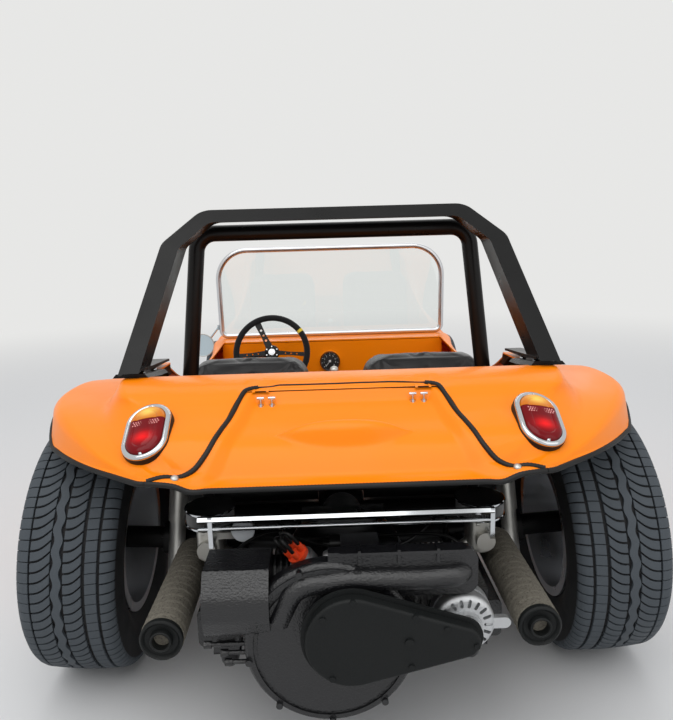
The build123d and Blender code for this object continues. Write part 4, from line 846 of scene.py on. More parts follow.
class Workshop:
    """All finishes, built once and handed out by name."""

    def __init__(self) -> None:
        """Builds the shared groups and every finish."""
        effects = Effects()
        self.materials = {finish.name: finish.build(effects) for finish in FINISHES}
        self.materials["distributor_pair"] = self._distributor(effects)

    @staticmethod
    def _distributor(effects: Effects) -> bpy.types.Material:
        """An orange-red cap over a grey metal body, parted across the distributor's own axis.

        Args:
            effects: The shared node groups.

        Returns:
            The material.
        """
        sheet = Sheet("distributor_pair")
        grain = sheet.group(effects.grain, Scale=500.0, Low=0.35, High=0.5)
        sheet.link(grain, "Roughness", sheet.shader, "Roughness")
        along = sheet.add("ShaderNodeVectorMath", operation="DOT_PRODUCT")
        along.inputs[1].default_value = DISTRIBUTOR_AXIS
        above = sheet.add("ShaderNodeMath", operation="GREATER_THAN")
        above.inputs[1].default_value = Vector(DISTRIBUTOR_AXIS).dot(Vector(DISTRIBUTOR_SPLIT))
        below = sheet.add("ShaderNodeMath", operation="SUBTRACT")
        below.inputs[0].default_value = 1.0
        sheet.link(sheet.coordinates, "Object", along, 0)
        sheet.link(along, "Value", above, 0)
        sheet.link(above, "Value", below, 1)
        sheet.mix(DISTRIBUTOR_BODY, DISTRIBUTOR_CAP, above, "Value")
        sheet.link(below, "Value", sheet.shader, "Metallic")
        return sheet.material

    def dress_nodes(self) -> None:
        """Gives every CAD node the finish of its material slot."""
        for row in frame["record"]["subparts"]:
            finish = ENGINE_FINISHES.get(row["node"], row["material_slot"])
            dress(frame["nodes"][row["node"]], self.materials[finish])


@dataclass
class Part:
    """A sub-assembly, with the finishes that it is dressed in."""

    works: Workshop

    def fit(self, piece: Piece, finish: str, slot: str, *nodes: str, body: str = "chassis") -> None:
        """Dresses a piece, lets it ride on its body and stand for its CAD nodes.

        Args:
            piece: The piece.
            finish: The name of its finish.
            slot: The record's material slot of that finish; not used.
            nodes: CAD nodes that it stands for.
            body: The body that it moves with.
        """
        dress(piece, self.works.materials[finish])
        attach(piece, body)
        if nodes:
            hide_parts(*nodes)
        LOG.info("%s on %s", piece.name, body)


@dataclass
class SkinPart(Part):
    """A sub-assembly that sits on the outer skin of tub and lid."""

    surface: Surface


@dataclass(frozen=True)
class Lamp:
    """One soft square lamp, aimed at a point."""

    name: str
    place: Place
    target: Place
    size: float
    power: float

    def build(self) -> None:
        """Hangs the lamp up."""
        data = bpy.data.lights.new(self.name, "AREA")
        data.shape = "SQUARE"
        data.size = self.size
        data.energy = self.power
        lamp = bpy.data.objects.new(self.name, data)
        bpy.context.collection.objects.link(lamp)
        lamp.location = self.place
        lamp.rotation_euler = (Vector(self.target) - Vector(self.place)).to_track_quat("-Z", "Y").to_euler()


@dataclass
class Studio:
    """The pale floor, the soft lights and the camera of the photograph."""

    floor_size: float = 80.0
    floor_colour: Four = (0.70, 0.70, 0.70, 1.0)
    backdrop: Four = (0.80, 0.80, 0.79, 1.0)
    floor_roughness: float = 0.9
    ambient: float = 0.58
    ambient_colour: Four = (0.95, 0.97, 1.0, 1.0)
    lamps: tuple[Lamp, ...] = (
        Lamp("key", (-1.2, -3.6, 5.4), (0, -0.8, 0.5), 6.0, 215.0),
        Lamp("fill", (3.8, -5.0, 3.2), (0, -0.8, 0.6), 5.0, 60.0),
        Lamp("rim", (0.5, 4.5, 4.5), (0, 0.5, 0.6), 6.0, 75.0),
    )
    fade_start: float = 2.5
    fade_end: float = 7.5
    place: Place = (-0.036, -2.82, 1.180)
    yaw: float = -0.95
    pitch: float = 10.75
    roll: float = 1.61
    lens: float = 33.35
    sensor: float = 36.0

    def build(self) -> None:
        """Builds the whole stage."""
        self._floor()
        self._world()
        for lamp in self.lamps:
            lamp.build()
        self._camera()
        bpy.context.scene.view_settings.view_transform = "Standard"

    def _floor(self) -> None:
        """A pale matt floor at the tyres' foot."""
        tidy_selection()
        bpy.ops.mesh.primitive_plane_add(size=self.floor_size, location=(0, 0, 0))
        floor = settle("stage_floor")
        sheet = Sheet("stage_floor")
        sheet.shader.inputs["Base Color"].default_value = self.floor_colour
        sheet.shader.inputs["Roughness"].default_value = self.floor_roughness
        self._fade(sheet)
        dress(floor, sheet.material)

    def _fade(self, sheet: Sheet) -> None:
        """Lets the far floor take the backdrop's colour for the eye, gloss and glass.

        Args:
            sheet: The material's node tree.
        """
        far = sheet.add("ShaderNodeEmission")
        far.inputs["Color"].default_value = self.backdrop
        away = sheet.add("ShaderNodeVectorMath", operation="LENGTH")
        spread = sheet.add("ShaderNodeMapRange", interpolation_type="SMOOTHSTEP")
        spread.inputs["From Min"].default_value = self.fade_start
        spread.inputs["From Max"].default_value = self.fade_end
        share = sheet.add("ShaderNodeMath", operation="MULTIPLY")
        mix = sheet.add("ShaderNodeMixShader")
        sheet.link(sheet.coordinates, "Object", away, "Vector")
        sheet.link(away, "Value", spread, "Value")
        sheet.tree.links.new(seen_rays(sheet.tree), share.inputs[0])
        sheet.link(spread, "Result", share, 1)
        sheet.link(share, "Value", mix, "Fac")
        sheet.link(sheet.shader, "BSDF", mix, 1)
        sheet.link(far, "Emission", mix, 2)
        sheet.link(mix, "Shader", sheet.output, "Surface")

    def _world(self) -> None:
        """Soft even light, with a pale backdrop for the eye, gloss and glass."""
        world = bpy.data.worlds.new("studio")
        bpy.context.scene.world = world
        world.use_nodes = True
        tree = world.node_tree
        tree.nodes.clear()
        out = tree.nodes.new("ShaderNodeOutputWorld")
        light = tree.nodes.new("ShaderNodeBackground")
        light.inputs["Color"].default_value = self.ambient_colour
        light.inputs["Strength"].default_value = self.ambient
        seen = tree.nodes.new("ShaderNodeBackground")
        seen.inputs["Color"].default_value = self.backdrop
        seen.inputs["Strength"].default_value = 1.0
        mix = tree.nodes.new("ShaderNodeMixShader")
        tree.links.new(seen_rays(tree), mix.inputs["Fac"])
        wire(tree, [(light, "Background", mix, 1), (seen, "Background", mix, 2)])
        tree.links.new(mix.outputs["Shader"], out.inputs["Surface"])

    def _camera(self) -> None:
        """The camera, with the direction and roll solved from the photograph."""
        yaw, pitch, roll = (math.radians(v) for v in (self.yaw, self.pitch, self.roll))
        ahead = Vector((-math.sin(yaw) * math.cos(pitch), math.cos(yaw) * math.cos(pitch), -math.sin(pitch)))
        right = Vector((math.cos(yaw), math.sin(yaw), 0.0))
        down = ahead.cross(right)
        turned_right = math.cos(roll) * right + math.sin(roll) * down
        turned_down = -math.sin(roll) * right + math.cos(roll) * down
        turn = Matrix((turned_right, -turned_down, -ahead)).transposed()
        data = bpy.data.cameras.new("camera")
        data.sensor_width = self.sensor
        data.lens = self.lens
        camera = bpy.data.objects.new("camera", data)
        bpy.context.collection.objects.link(camera)
        camera.matrix_world = Matrix.Translation(self.place) @ turn.to_4x4()
        bpy.context.scene.camera = camera


# Bands of the tread as shares of its half width, from the outer shoulder inwards:
# edges, block length as a share of the pitch, slant and bow in metres
TREAD_BANDS = (
    (0.98, 0.70, 0.93, 0.000, 0.0),
    (0.665, 0.26, 0.80, -0.026, 0.007),
    (0.00, -0.36, 0.80, -0.022, 0.007),
    (-0.43, -0.66, 0.93, -0.003, 0.0),
    (-0.72, -0.98, 0.86, -0.004, 0.0),
)
# The wavy rib's middle, half width and swing, in the same shares
RIB_MIDDLE = 0.135
RIB_HALF = 0.082
RIB_WAVE = 0.028


@dataclass
class Tyre(Part):
    """A tyre with sidewalls and a modelled tread, wrapped round its wheel's axis.

    Sizes are in metres. The outline follows the CAD tyre's crown and width.
    """

    kind: str
    side: Side
    x: float
    y: float
    camber: float
    radius: float
    width: float
    pitches: int
    rim: float = 0.190
    crown: float = 0.900
    shoulder: float = 0.030
    groove: float = 0.0075
    shoulder_fall: float = 0.95
    block_edge: float = 0.0009
    block_cuts: int = 4
    rib_steps: int = 4
    casing_edge: float = 0.003
    casing_steps: int = 8
    bead_share: float = 0.40
    bead_rise: float = 0.015
    bulge: Profile = ((-0.001, 0.022), (0.001, 0.006), (0.001, -0.014), (-0.006, -0.034))
    heel: Profile = ((0.004, 0.006), (0.0, 0.0))
    toe: Profile = ((0.0, 0.002), (-0.012, 0.002))

    def drop(self, across: float) -> float:
        """How far the tread's surface lies under its highest radius.

        Args:
            across: The place across the tyre, from its middle.

        Returns:
            The distance.
        """
        edge = self.width / 2 - self.shoulder
        inner = min(abs(across), edge)
        fall = self.crown - math.sqrt(self.crown**2 - inner**2)
        beyond = max(0.0, abs(across) - edge) / self.shoulder
        return fall + self.shoulder * self.shoulder_fall * (1.0 - math.sqrt(max(0.0, 1.0 - beyond**2)))

    def wrap(self, piece: Piece) -> None:
        """Bends a flat strip, x across, y round and z outwards, round the axle.

        Args:
            piece: The strip.
        """
        step = math.tau / (self.pitches * self.pitch)
        for vertex in piece.data.vertices:
            x, y, z = vertex.co
            turn = y * step
            r = self.radius - self.drop(x) + z
            vertex.co = (x, r * math.sin(turn), r * math.cos(turn))

    @property
    def pitch(self) -> float:
        """The tread's repeat, measured round the tyre."""
        return math.tau * self.radius / self.pitches

    def place(self, piece: Piece) -> None:
        """Moves a piece from the axle's own frame to the wheel's place, where its crown meets the floor.

        Args:
            piece: The piece.
        """
        sign = self.side.value
        out = Vector((sign * math.cos(self.camber), 0.0, math.sin(self.camber)))
        up = Vector((-sign * math.sin(self.camber), 0.0, math.cos(self.camber)))
        turn = Matrix((out, up.cross(out), up)).transposed().to_4x4()
        height = self.crown + (self.radius - self.crown) * math.cos(self.camber)
        piece.data.transform(Matrix.Translation((sign * self.x, self.y, height)) @ turn)
        piece.data.update()

    @staticmethod
    def _raise() -> None:
        """Extrudes the edited sheet upwards and turns its faces outwards."""
        bpy.ops.mesh.extrude_region_move(TRANSFORM_OT_translate={"value": tuple(UP)})
        bpy.ops.mesh.select_all(action="SELECT")
        bpy.ops.mesh.normals_make_consistent(inside=False)

    def block(self, start: float, end: float, share: float, slant: float, bow: float) -> Piece:
        """One tread block as a flat raised piece, modelled once and arrayed round.

        Args:
            start: Where its first edge lies across the tyre.
            end: Where its second edge lies.
            share: Its length as a share of the pitch.
            slant: How far its second edge is shifted round the tyre.
            bow: How far its edges curve round the tyre at their middle.

        Returns:
            The ring of blocks, still flat.
        """
        tidy_selection()
        bpy.ops.mesh.primitive_plane_add(size=1.0)
        piece = bpy.context.object
        with editing(piece):
            bpy.ops.mesh.subdivide(number_cuts=self.block_cuts)
            self._raise()
        for vertex in piece.data.vertices:
            u, v, w = vertex.co.x + 0.5, vertex.co.y, vertex.co.z
            across = start + (end - start) * u
            round_by = v * self.pitch * share + slant * u + bow * math.sin(math.pi * u)
            vertex.co = (across, round_by, (w - 1.0) * self.groove)
        edge_bevel(piece, self.block_edge)
        row = piece.modifiers.new("row", "ARRAY")
        row.count = self.pitches
        row.use_relative_offset = False
        row.use_constant_offset = True
        row.constant_offset_displace = (0, self.pitch, 0)
        return apply_all(piece)

    def rib(self, middle: float, half: float, zigzag: float) -> Piece:
        """A continuous rib with wavy edges, one wave to two pitches.

        Args:
            middle: The rib's middle across the tyre.
            half: Half of its width.
            zigzag: How far its edges swing to each side.

        Returns:
            The rib, still flat.
        """
        tidy_selection()
        steps = self.pitches * self.rib_steps
        bpy.ops.mesh.primitive_grid_add(x_subdivisions=2, y_subdivisions=steps, size=1.0)
        piece = bpy.context.object
        length = self.pitch * self.pitches
        with editing(piece):
            self._raise()
        for vertex in piece.data.vertices:
            step = round((vertex.co.y + 0.5) * steps)
            wave = zigzag * math.sin(math.tau * step / (2 * self.rib_steps))
            x = middle + vertex.co.x * 2 * half + wave
            vertex.co = (x, (vertex.co.y + 0.5) * length, (vertex.co.z - 1.0) * self.groove)
        return piece

    def carcass(self) -> Piece:
        """The casing under the tread, with both sidewalls down to the beads.

        Returns:
            The casing, round the +X axis.
        """
        edge, bead, mid = self.width / 2, self.width * self.bead_share, (self.radius + self.rim) / 2
        half = []
        for i in range(self.casing_steps + 1):
            x = (edge - self.casing_edge) * i / self.casing_steps
            half.append((x, self.radius - self.drop(x) - self.groove))
        half += [(edge + out, mid + up) for out, up in self.bulge]
        half += [(bead + out, self.rim + self.bead_rise + up) for out, up in self.heel]
        half += [(bead + out, self.rim + up) for out, up in self.toe]
        profile = [(-x, r) for x, r in reversed(half)] + half[1:]
        name = f"{self.kind}_{self.side.word}_tyre_casing"
        return lathe(name, tuple(profile), Vector(), RIGHT, steps=96, angle=30.0)

    def build(self) -> None:
        """Builds the tyre and lets it stand for its CAD node."""
        edge = self.width / 2
        down, word = -float(self.side.value), self.side.word
        bands = [
            self.block(edge * start, edge * end, share, down * slant, down * bow)
            for start, end, share, slant, bow in TREAD_BANDS
        ]
        bands.append(self.rib(edge * RIB_MIDDLE, edge * RIB_HALF, edge * RIB_WAVE))
        tread = join(f"{self.kind}_{word}_tyre_tread", bands)
        self.wrap(tread)
        casing = self.carcass()
        node, body = f"tyre_{self.kind}_{word}", f"wheel_{self.kind}_{word}"
        # The tread's lighter rubber is painted sheen
        for piece, finish in ((tread, "tread_rubber_sheen"), (casing, "tyre_rubber")):
            self.place(piece)
            self.fit(piece, finish, "tyre_rubber", node, body=body)
        close_up(tread)
        smooth(tread, 30.0)


@dataclass(frozen=True)
class Moulding:
    """How the real rear moulding departs from its plain form.

    The deck lies a little lower, the hinge line further back and the lower lip higher.
    """

    lip_foot: float = 0.600
    lip_low: float = 0.655
    lip_top: float = 0.700
    lip_keep: float = 0.25
    tip_y: float = REAR_AXLE_Y - 0.44
    tip_z: float = 0.690
    lip_front_y: float = REAR_AXLE_Y
    lip_rear_y: float = REAR_AXLE_Y - 0.110
    deck_low: float = 0.790
    deck_high: float = 0.845
    deck_drop: float = 0.015
    deck_front_y: float = REAR_AXLE_Y + 0.420
    deck_rear_y: float = REAR_AXLE_Y + 0.070
    hinge_y: float = REAR_AXLE_Y - 0.258
    hinge_shift: float = 0.028
    hinge_reach: float = 0.090

    def move(self, point: Vector) -> Vector:
        """Where a point of the plain form lies on the moulding.

        Args:
            point: The point.

        Returns:
            Its new place.
        """
        x, y, z = point
        height = z
        rear = 1.0 - smoothstep(self.lip_rear_y, self.lip_front_y, y)
        if z < self.lip_top:
            raised = self.lip_top - (self.lip_top - z) * self.lip_keep
            height += (raised - z) * smoothstep(self.lip_foot, self.lip_low, z) * rear
        if y < self.tip_y and self.lip_foot < z < self.lip_top:
            height = max(height, self.tip_z)
        deck = smoothstep(self.deck_low, self.deck_high, z)
        height -= self.deck_drop * deck * (1.0 - smoothstep(self.deck_rear_y, self.deck_front_y, y))
        near = 1.0 - smoothstep(0.0, self.hinge_reach, abs(y - self.hinge_y))
        return Vector((x, y - self.hinge_shift * near * deck, height))


@dataclass
class LidShape:
    """The lid's outline in plan and the relief of its outer face, in metres from the rear axle."""

    outline: Profile = (
        (0.198, -0.262), (0.214, -0.266), (0.226, -0.278), (0.236, -0.300), (0.250, -0.350), (0.268, -0.402),
        (0.286, -0.442), (0.310, -0.470), (0.352, -0.491), (0.392, -0.499), (0.428, -0.504),
    )
    outline_step: float = 0.004
    end_bend: int = 7
    rear: float = -0.5235
    wall_inner: float = 0.012
    wall_outer: float = 0.040
    depth: float = 0.017
    boss_half: float = 0.152
    boss_reach: float = 0.033
    boss_rise: float = 0.025
    boss_middle: float = -0.402
    boss_points: float = 2.3
    boss_foot: float = 0.0005
    boss_slope: Four = (-1.0, 0.45, 0.78, 1.12)
    columns: int = 200
    rows: int = 104

    def side(self) -> list[Vector]:
        """The outline's right-hand edge as an even smooth line, from the hinge to the lower corner."""
        return rounded_path([Vector((x, y, 0.0)) for x, y in self.outline], self.outline_step)

    def across(self, share: float, middle: float, end: Vector) -> tuple[float, float]:
        """A place on a line across the lid that bends near both its ends.

        Args:
            share: How far from the middle to an end, from -1 to 1.
            middle: The line's place along the vehicle at its middle.
            end: Its right-hand end.

        Returns:
            The place across and along the vehicle.
        """
        bend = abs(share) ** self.end_bend
        return share * end.x, middle * (1 - bend) + end.y * bend

    def boss(self, x: float, y: float) -> float:
        """The height of the long pointed boss over the lid.

        Args:
            x: Place across.
            y: Place along, from the rear axle.

        Returns:
            The height, 0 beside the boss.
        """
        share = abs(x) / self.boss_half
        if share >= 1.0:
            return 0.0
        start, crest, brow, end = self.boss_slope
        reach = self.boss_reach * (1.0 - share**self.boss_points)
        across = (self.boss_middle - y) / max(reach, self.boss_foot)
        if abs(across) >= end:
            return 0.0
        rise = smoothstep(start, crest, across) * (1.0 - smoothstep(brow, end, across))
        return self.boss_rise * rise * (1.0 - share**3)


@dataclass
class Bodywork(Part):
    """The moulded tub and its engine lid, with clean smooth skins and painted shade on their inner faces."""

    smooth_angle: float = 32.0
    lid: LidShape = field(default_factory=LidShape)
    moulding: Moulding = field(default_factory=Moulding)
    lid_wall: float = 0.004
    lid_lift: float = 0.0008
    # The plain hinge ears: their place, how far beside and behind them the deck is read, how deep they sink
    ear_box: Four = (0.166, 0.214, -0.292, -0.222)
    ear_beside: float = 0.02
    ear_deck_y: float = REAR_AXLE_Y - 0.250
    ear_sink: float = 0.004
    # Where the lid's height is read from beside the ears and across the seam
    ear_margin: Three = (0.004, 0.03, 0.024)
    ear_near: float = 0.006
    ear_nearer: float = 0.036
    seam_reach: float = 0.016
    inwards: tuple[float, ...] = (0.0, 0.004, 0.008, 0.014, 0.022)
    half_width: float = 0.25
    inward_share: float = 0.5
    lip_floor: float = 0.675
    lip_height: float = 0.690
    # Painted shade on inner faces: those that look down, or see the body close by, and the engine bay's
    # covered walls
    under: float = -0.35
    level: float = 0.3
    clear: float = 0.002
    inner_reach: float = 0.6
    dark_end: float = REAR_AXLE_Y + 0.36
    bay_half: float = 0.50
    bay_rear: float = REAR_AXLE_Y - 0.36
    bay_clear: float = 0.003

    def build(self) -> Surface:
        """Builds both skins.

        Returns:
            The outer surface of tub and lid, for what sits on it.
        """
        tub = node_copy("body_tub", "body_tub_skin", self.smooth_angle)
        plain_lid = node_copy("engine_lid", "plain_lid", self.smooth_angle)
        self._sink_ears(tub)
        for piece in (tub, plain_lid):
            for vertex in piece.data.vertices:
                vertex.co = self.moulding.move(vertex.co)
        surface = Surface(tub, plain_lid)
        lid = self._lid_skin(surface)
        covered = Surface(tub, lid)
        for piece in (tub, lid):
            piece.data.update()
            # Painted shade on the inner faces
            self._darken(piece, covered if piece is tub else None)
        level = tub.modifiers.new("level", "WEIGHTED_NORMAL")
        level.keep_sharp = True
        apply_all(tub)
        bpy.data.objects.remove(plain_lid, do_unlink=True)
        self.fit(tub, "body_gloss", "body_gloss", "body_tub")
        self.fit(lid, "body_gloss", "body_gloss", "engine_lid", body="engine_lid")
        return Surface(tub, lid)

    def _darken(self, piece: Piece, cover: Surface | None) -> None:
        """Paints near-black shade on the rear body's inner faces, where shade falls under and between its
        parts, and leaves the rest.

        Args:
            piece: The skin to paint shade on.
            cover: What stands over the engine bay's walls, for the tub alone.
        """
        skin = Surface(piece)
        layer = piece.data.attributes.new(PAINTED_LIGHT, "FLOAT", "FACE")
        for face, value in zip(piece.data.polygons, layer.data):
            place, normal = face.center, face.normal
            inner = normal.z < self.under
            if not inner and normal.z < self.level:
                hit = skin.cast(place + normal * self.clear, normal)
                inner = hit is not None and (hit[0] - place).length < self.inner_reach
            if cover and not inner and abs(place.x) < self.bay_half and place.y > self.bay_rear:
                inner = cover.cast(place + normal * self.bay_clear, UP) is not None
            value.value = 1.0 if inner and place.y < self.dark_end else 0.0

    def _sink_ears(self, tub: Piece) -> None:
        """Lowers the plain hinge ears into the deck, where the hinge screws stand instead.

        Args:
            tub: The tub's skin.
        """
        low_x, high_x, low_y, high_y = self.ear_box
        deck = Surface(tub)
        for vertex in tub.data.vertices:
            x, y, z = vertex.co
            if low_x < abs(x) < high_x and low_y < y - REAR_AXLE_Y < high_y:
                beside = deck.top(math.copysign(low_x - self.ear_beside, x), max(y, self.ear_deck_y))
                if beside is not None and z > beside - self.ear_sink:
                    vertex.co.z = beside - self.ear_sink

    def _lid_skin(self, surface: Surface) -> Piece:
        """The lid as one fine grid over the moulding, with its sunk panel and boss.

        Args:
            surface: The body's outer skin.

        Returns:
            The lid.
        """
        shape = self.lid
        edge = shape.side()
        plan, heights = [], []
        for i in range(shape.rows + 1):
            down = i / shape.rows
            at = down * (len(edge) - 1)
            k = min(int(at), len(edge) - 2)
            end = edge[k].lerp(edge[k + 1], at - k)
            middle = edge[0].y + (shape.rear - edge[0].y) * down
            line = [shape.across(2 * j / shape.columns - 1, middle, end) for j in range(shape.columns + 1)]
            plan.append(line)
            heights.append([self._height(surface, x, y) for x, y in line])
        heights = self._even(heights)
        tidy_selection()
        bpy.ops.mesh.primitive_grid_add(x_subdivisions=shape.columns, y_subdivisions=shape.rows, size=1.0)
        piece = settle("engine_lid_skin")
        for vertex in piece.data.vertices:
            j = round((vertex.co.x + 0.5) * shape.columns)
            i = round((0.5 - vertex.co.y) * shape.rows)
            x, y = plan[i][j]
            z = heights[i][j] + self.lid_lift - self._sink(edge, x, y) + shape.boss(x, y)
            vertex.co = (x, y + REAR_AXLE_Y, z)
        return smooth(wall(piece, self.lid_wall), 40.0)

    def _height(self, surface: Surface, x: float, y: float) -> float:
        """The moulding's height, read from beside the seam and the ears where they are in the way.

        Args:
            surface: The body's outer skin.
            x: Place across.
            y: Place along, from the rear axle.

        Returns:
            The height.
        """
        seam = self.moulding.hinge_y - self.moulding.hinge_shift
        ahead, behind = seam + self.seam_reach, seam - self.seam_reach
        along = y + REAR_AXLE_Y
        if behind < along < ahead:
            before, after = (self._height(surface, x, at - REAR_AXLE_Y) for at in (ahead, behind))
            return before + (after - before) * (ahead - along) / (ahead - behind)
        low_x, high_x, low_y, _ = self.ear_box
        inner, outer, rear = self.ear_margin
        if low_x - inner < abs(x) < high_x + outer and y > low_y - rear:
            near, nearer = low_x - self.ear_near, low_x - self.ear_nearer
            z, before = (surface.top(math.copysign(at, x), along) for at in (near, nearer))
            if z is not None and before is not None:
                return z + (z - before) * (abs(x) - near) / (near - nearer)
        for inward in self.inwards:
            z = surface.top(x * (1 - inward / self.half_width), along + inward * self.inward_share)
            if z is not None and z > self.lip_floor:
                return z
        return self.lip_height

    @staticmethod
    def _even(heights: list[list[float]], rounds: int = 5) -> list[list[float]]:
        """Evens out small steps between the plain form's facets.

        Args:
            heights: Rows of heights.
            rounds: How often each height is averaged with its neighbours.

        Returns:
            The new rows.
        """
        for _ in range(rounds):
            fresh = [row[:] for row in heights]
            for i in range(1, len(heights) - 1):
                above, row, below = heights[i - 1:i + 2]
                for j in range(1, len(row) - 1):
                    fresh[i][j] = (row[j - 1] + row[j + 1] + above[j] + below[j] + row[j] * 2) / 6
            heights = fresh
        return heights

    def _sink(self, edge: list[Vector], x: float, y: float) -> float:
        """How deep the panel lies under the lid's rim at a place.

        Args:
            edge: The outline's right-hand edge.
            x: Place across.
            y: Place along, from the rear axle.

        Returns:
            The depth.
        """
        shape = self.lid
        place = Vector((abs(x), y, 0.0))
        near = min((place - point).length for point in edge)
        near = min(near, abs(edge[0].y - y))
        return shape.depth * smoothstep(shape.wall_inner, shape.wall_outer, near)


@dataclass
class Welts(SkinPart):
    """The ribbed rubber cords along the lid's outline and the body's lower edge."""

    radius: float = 0.0062
    rib: float = 0.10
    rib_step: float = 0.0035
    facets: int = 10
    every: int = 8
    thin_radius: float = 0.0030
    thin_step: float = 0.006
    thin_back: float = 0.001
    half_count: int = 12
    rear_share: float = 0.99
    rear_back: float = 0.002
    rear_drop: float = 0.004
    arch_radius: float = 0.393
    arch_turns: tuple[int, int, int] = (116, -20, -8)
    arch_lift: float = 0.004
    arch_foot: float = 0.240
    arch_inner: float = 0.5
    outside: float = 1.1
    axle_z: float = 0.3458
    lip_z: float = 0.690
    inwards: tuple[float, ...] = (0.0, 0.003, 0.006, 0.010, 0.016)
    inward_share: float = 0.5
    skin_floor: float = 0.665
    skin_height: float = 0.692
    lip: Profile = (
        (0.412, -0.508), (0.430, -0.503), (0.452, -0.487), (0.500, -0.450), (0.555, -0.405), (0.604, -0.360),
        (0.645, -0.315), (0.680, -0.270), (0.704, -0.235),
    )

    def build(self, lid: LidShape) -> None:
        """Builds all cords.

        Args:
            lid: The lid's outline.
        """
        line = lid.side()
        edge = [self._on(point.x, point.y) for point in line[:: self.every]]
        for side in Side:
            run = [Vector((side.value * p.x, p.y, p.z)) for p in edge]
            self.fit(self._cord(f"lid_welt_{side.word}", run), "black_rubber", "black_vinyl")
            run = self._fender(side.value)
            self.fit(self._cord(f"fender_welt_{side.word}", run), "black_rubber", "black_vinyl")
        shares = [k / self.half_count - 1 for k in range(2 * self.half_count + 1)]
        run = [self._on(share * line[0].x, line[0].y + self.thin_back) for share in shares]
        top = tube("lid_welt_top", run, self.thin_radius, self.thin_step, self.facets)
        self.fit(top, "black_rubber", "black_vinyl")
        run = []
        for share in shares:
            x, y = lid.across(share, lid.rear, line[-1])
            foot = self._on(x * self.rear_share, y + self.rear_back)
            run.append(foot - Vector((0, self.rear_back, self.rear_drop)))
        self.fit(self._cord("lid_lip_welt", run), "black_rubber", "black_vinyl", body="engine_lid")

    def _cord(self, name: str, run: list[Vector]) -> Piece:
        """One thick ribbed cord along a line."""
        return tube(name, run, self.radius, self.rib_step, self.facets, self.rib)

    def _on(self, x: float, y: float) -> Vector:
        """A place on the skin seen from above, read a little inwards where its edge is missed.

        Args:
            x: Place across.
            y: Place along, from the rear axle.

        Returns:
            The place on the skin.
        """
        height = self.skin_height
        for inward in self.inwards:
            z = self.surface.top(x - math.copysign(inward, x), y + REAR_AXLE_Y + inward * self.inward_share)
            if z is not None and z > self.skin_floor:
                height = z
                break
        return Vector((x, y + REAR_AXLE_Y, height))

    def _fender(self, side: int) -> list[Vector]:
        """The cord's line from the lid's lower corner round the fender and the arch to the sill.

        Args:
            side: -1 left, 1 right.

        Returns:
            Points of the line.
        """
        points = [Vector((side * x, y + REAR_AXLE_Y, self.lip_z)) for x, y in self.lip]
        for degrees in range(*self.arch_turns):
            turn = math.radians(degrees)
            y = REAR_AXLE_Y + self.arch_radius * math.cos(turn)
            z = self.axle_z + self.arch_radius * math.sin(turn)
            hit = self.surface.cast(Vector((side * self.outside, y, z + self.arch_lift)), -side * RIGHT)
            if hit and z > self.arch_foot and abs(hit[0].x) > self.arch_inner:
                points.append(Vector((hit[0].x, y, z)))
        return points


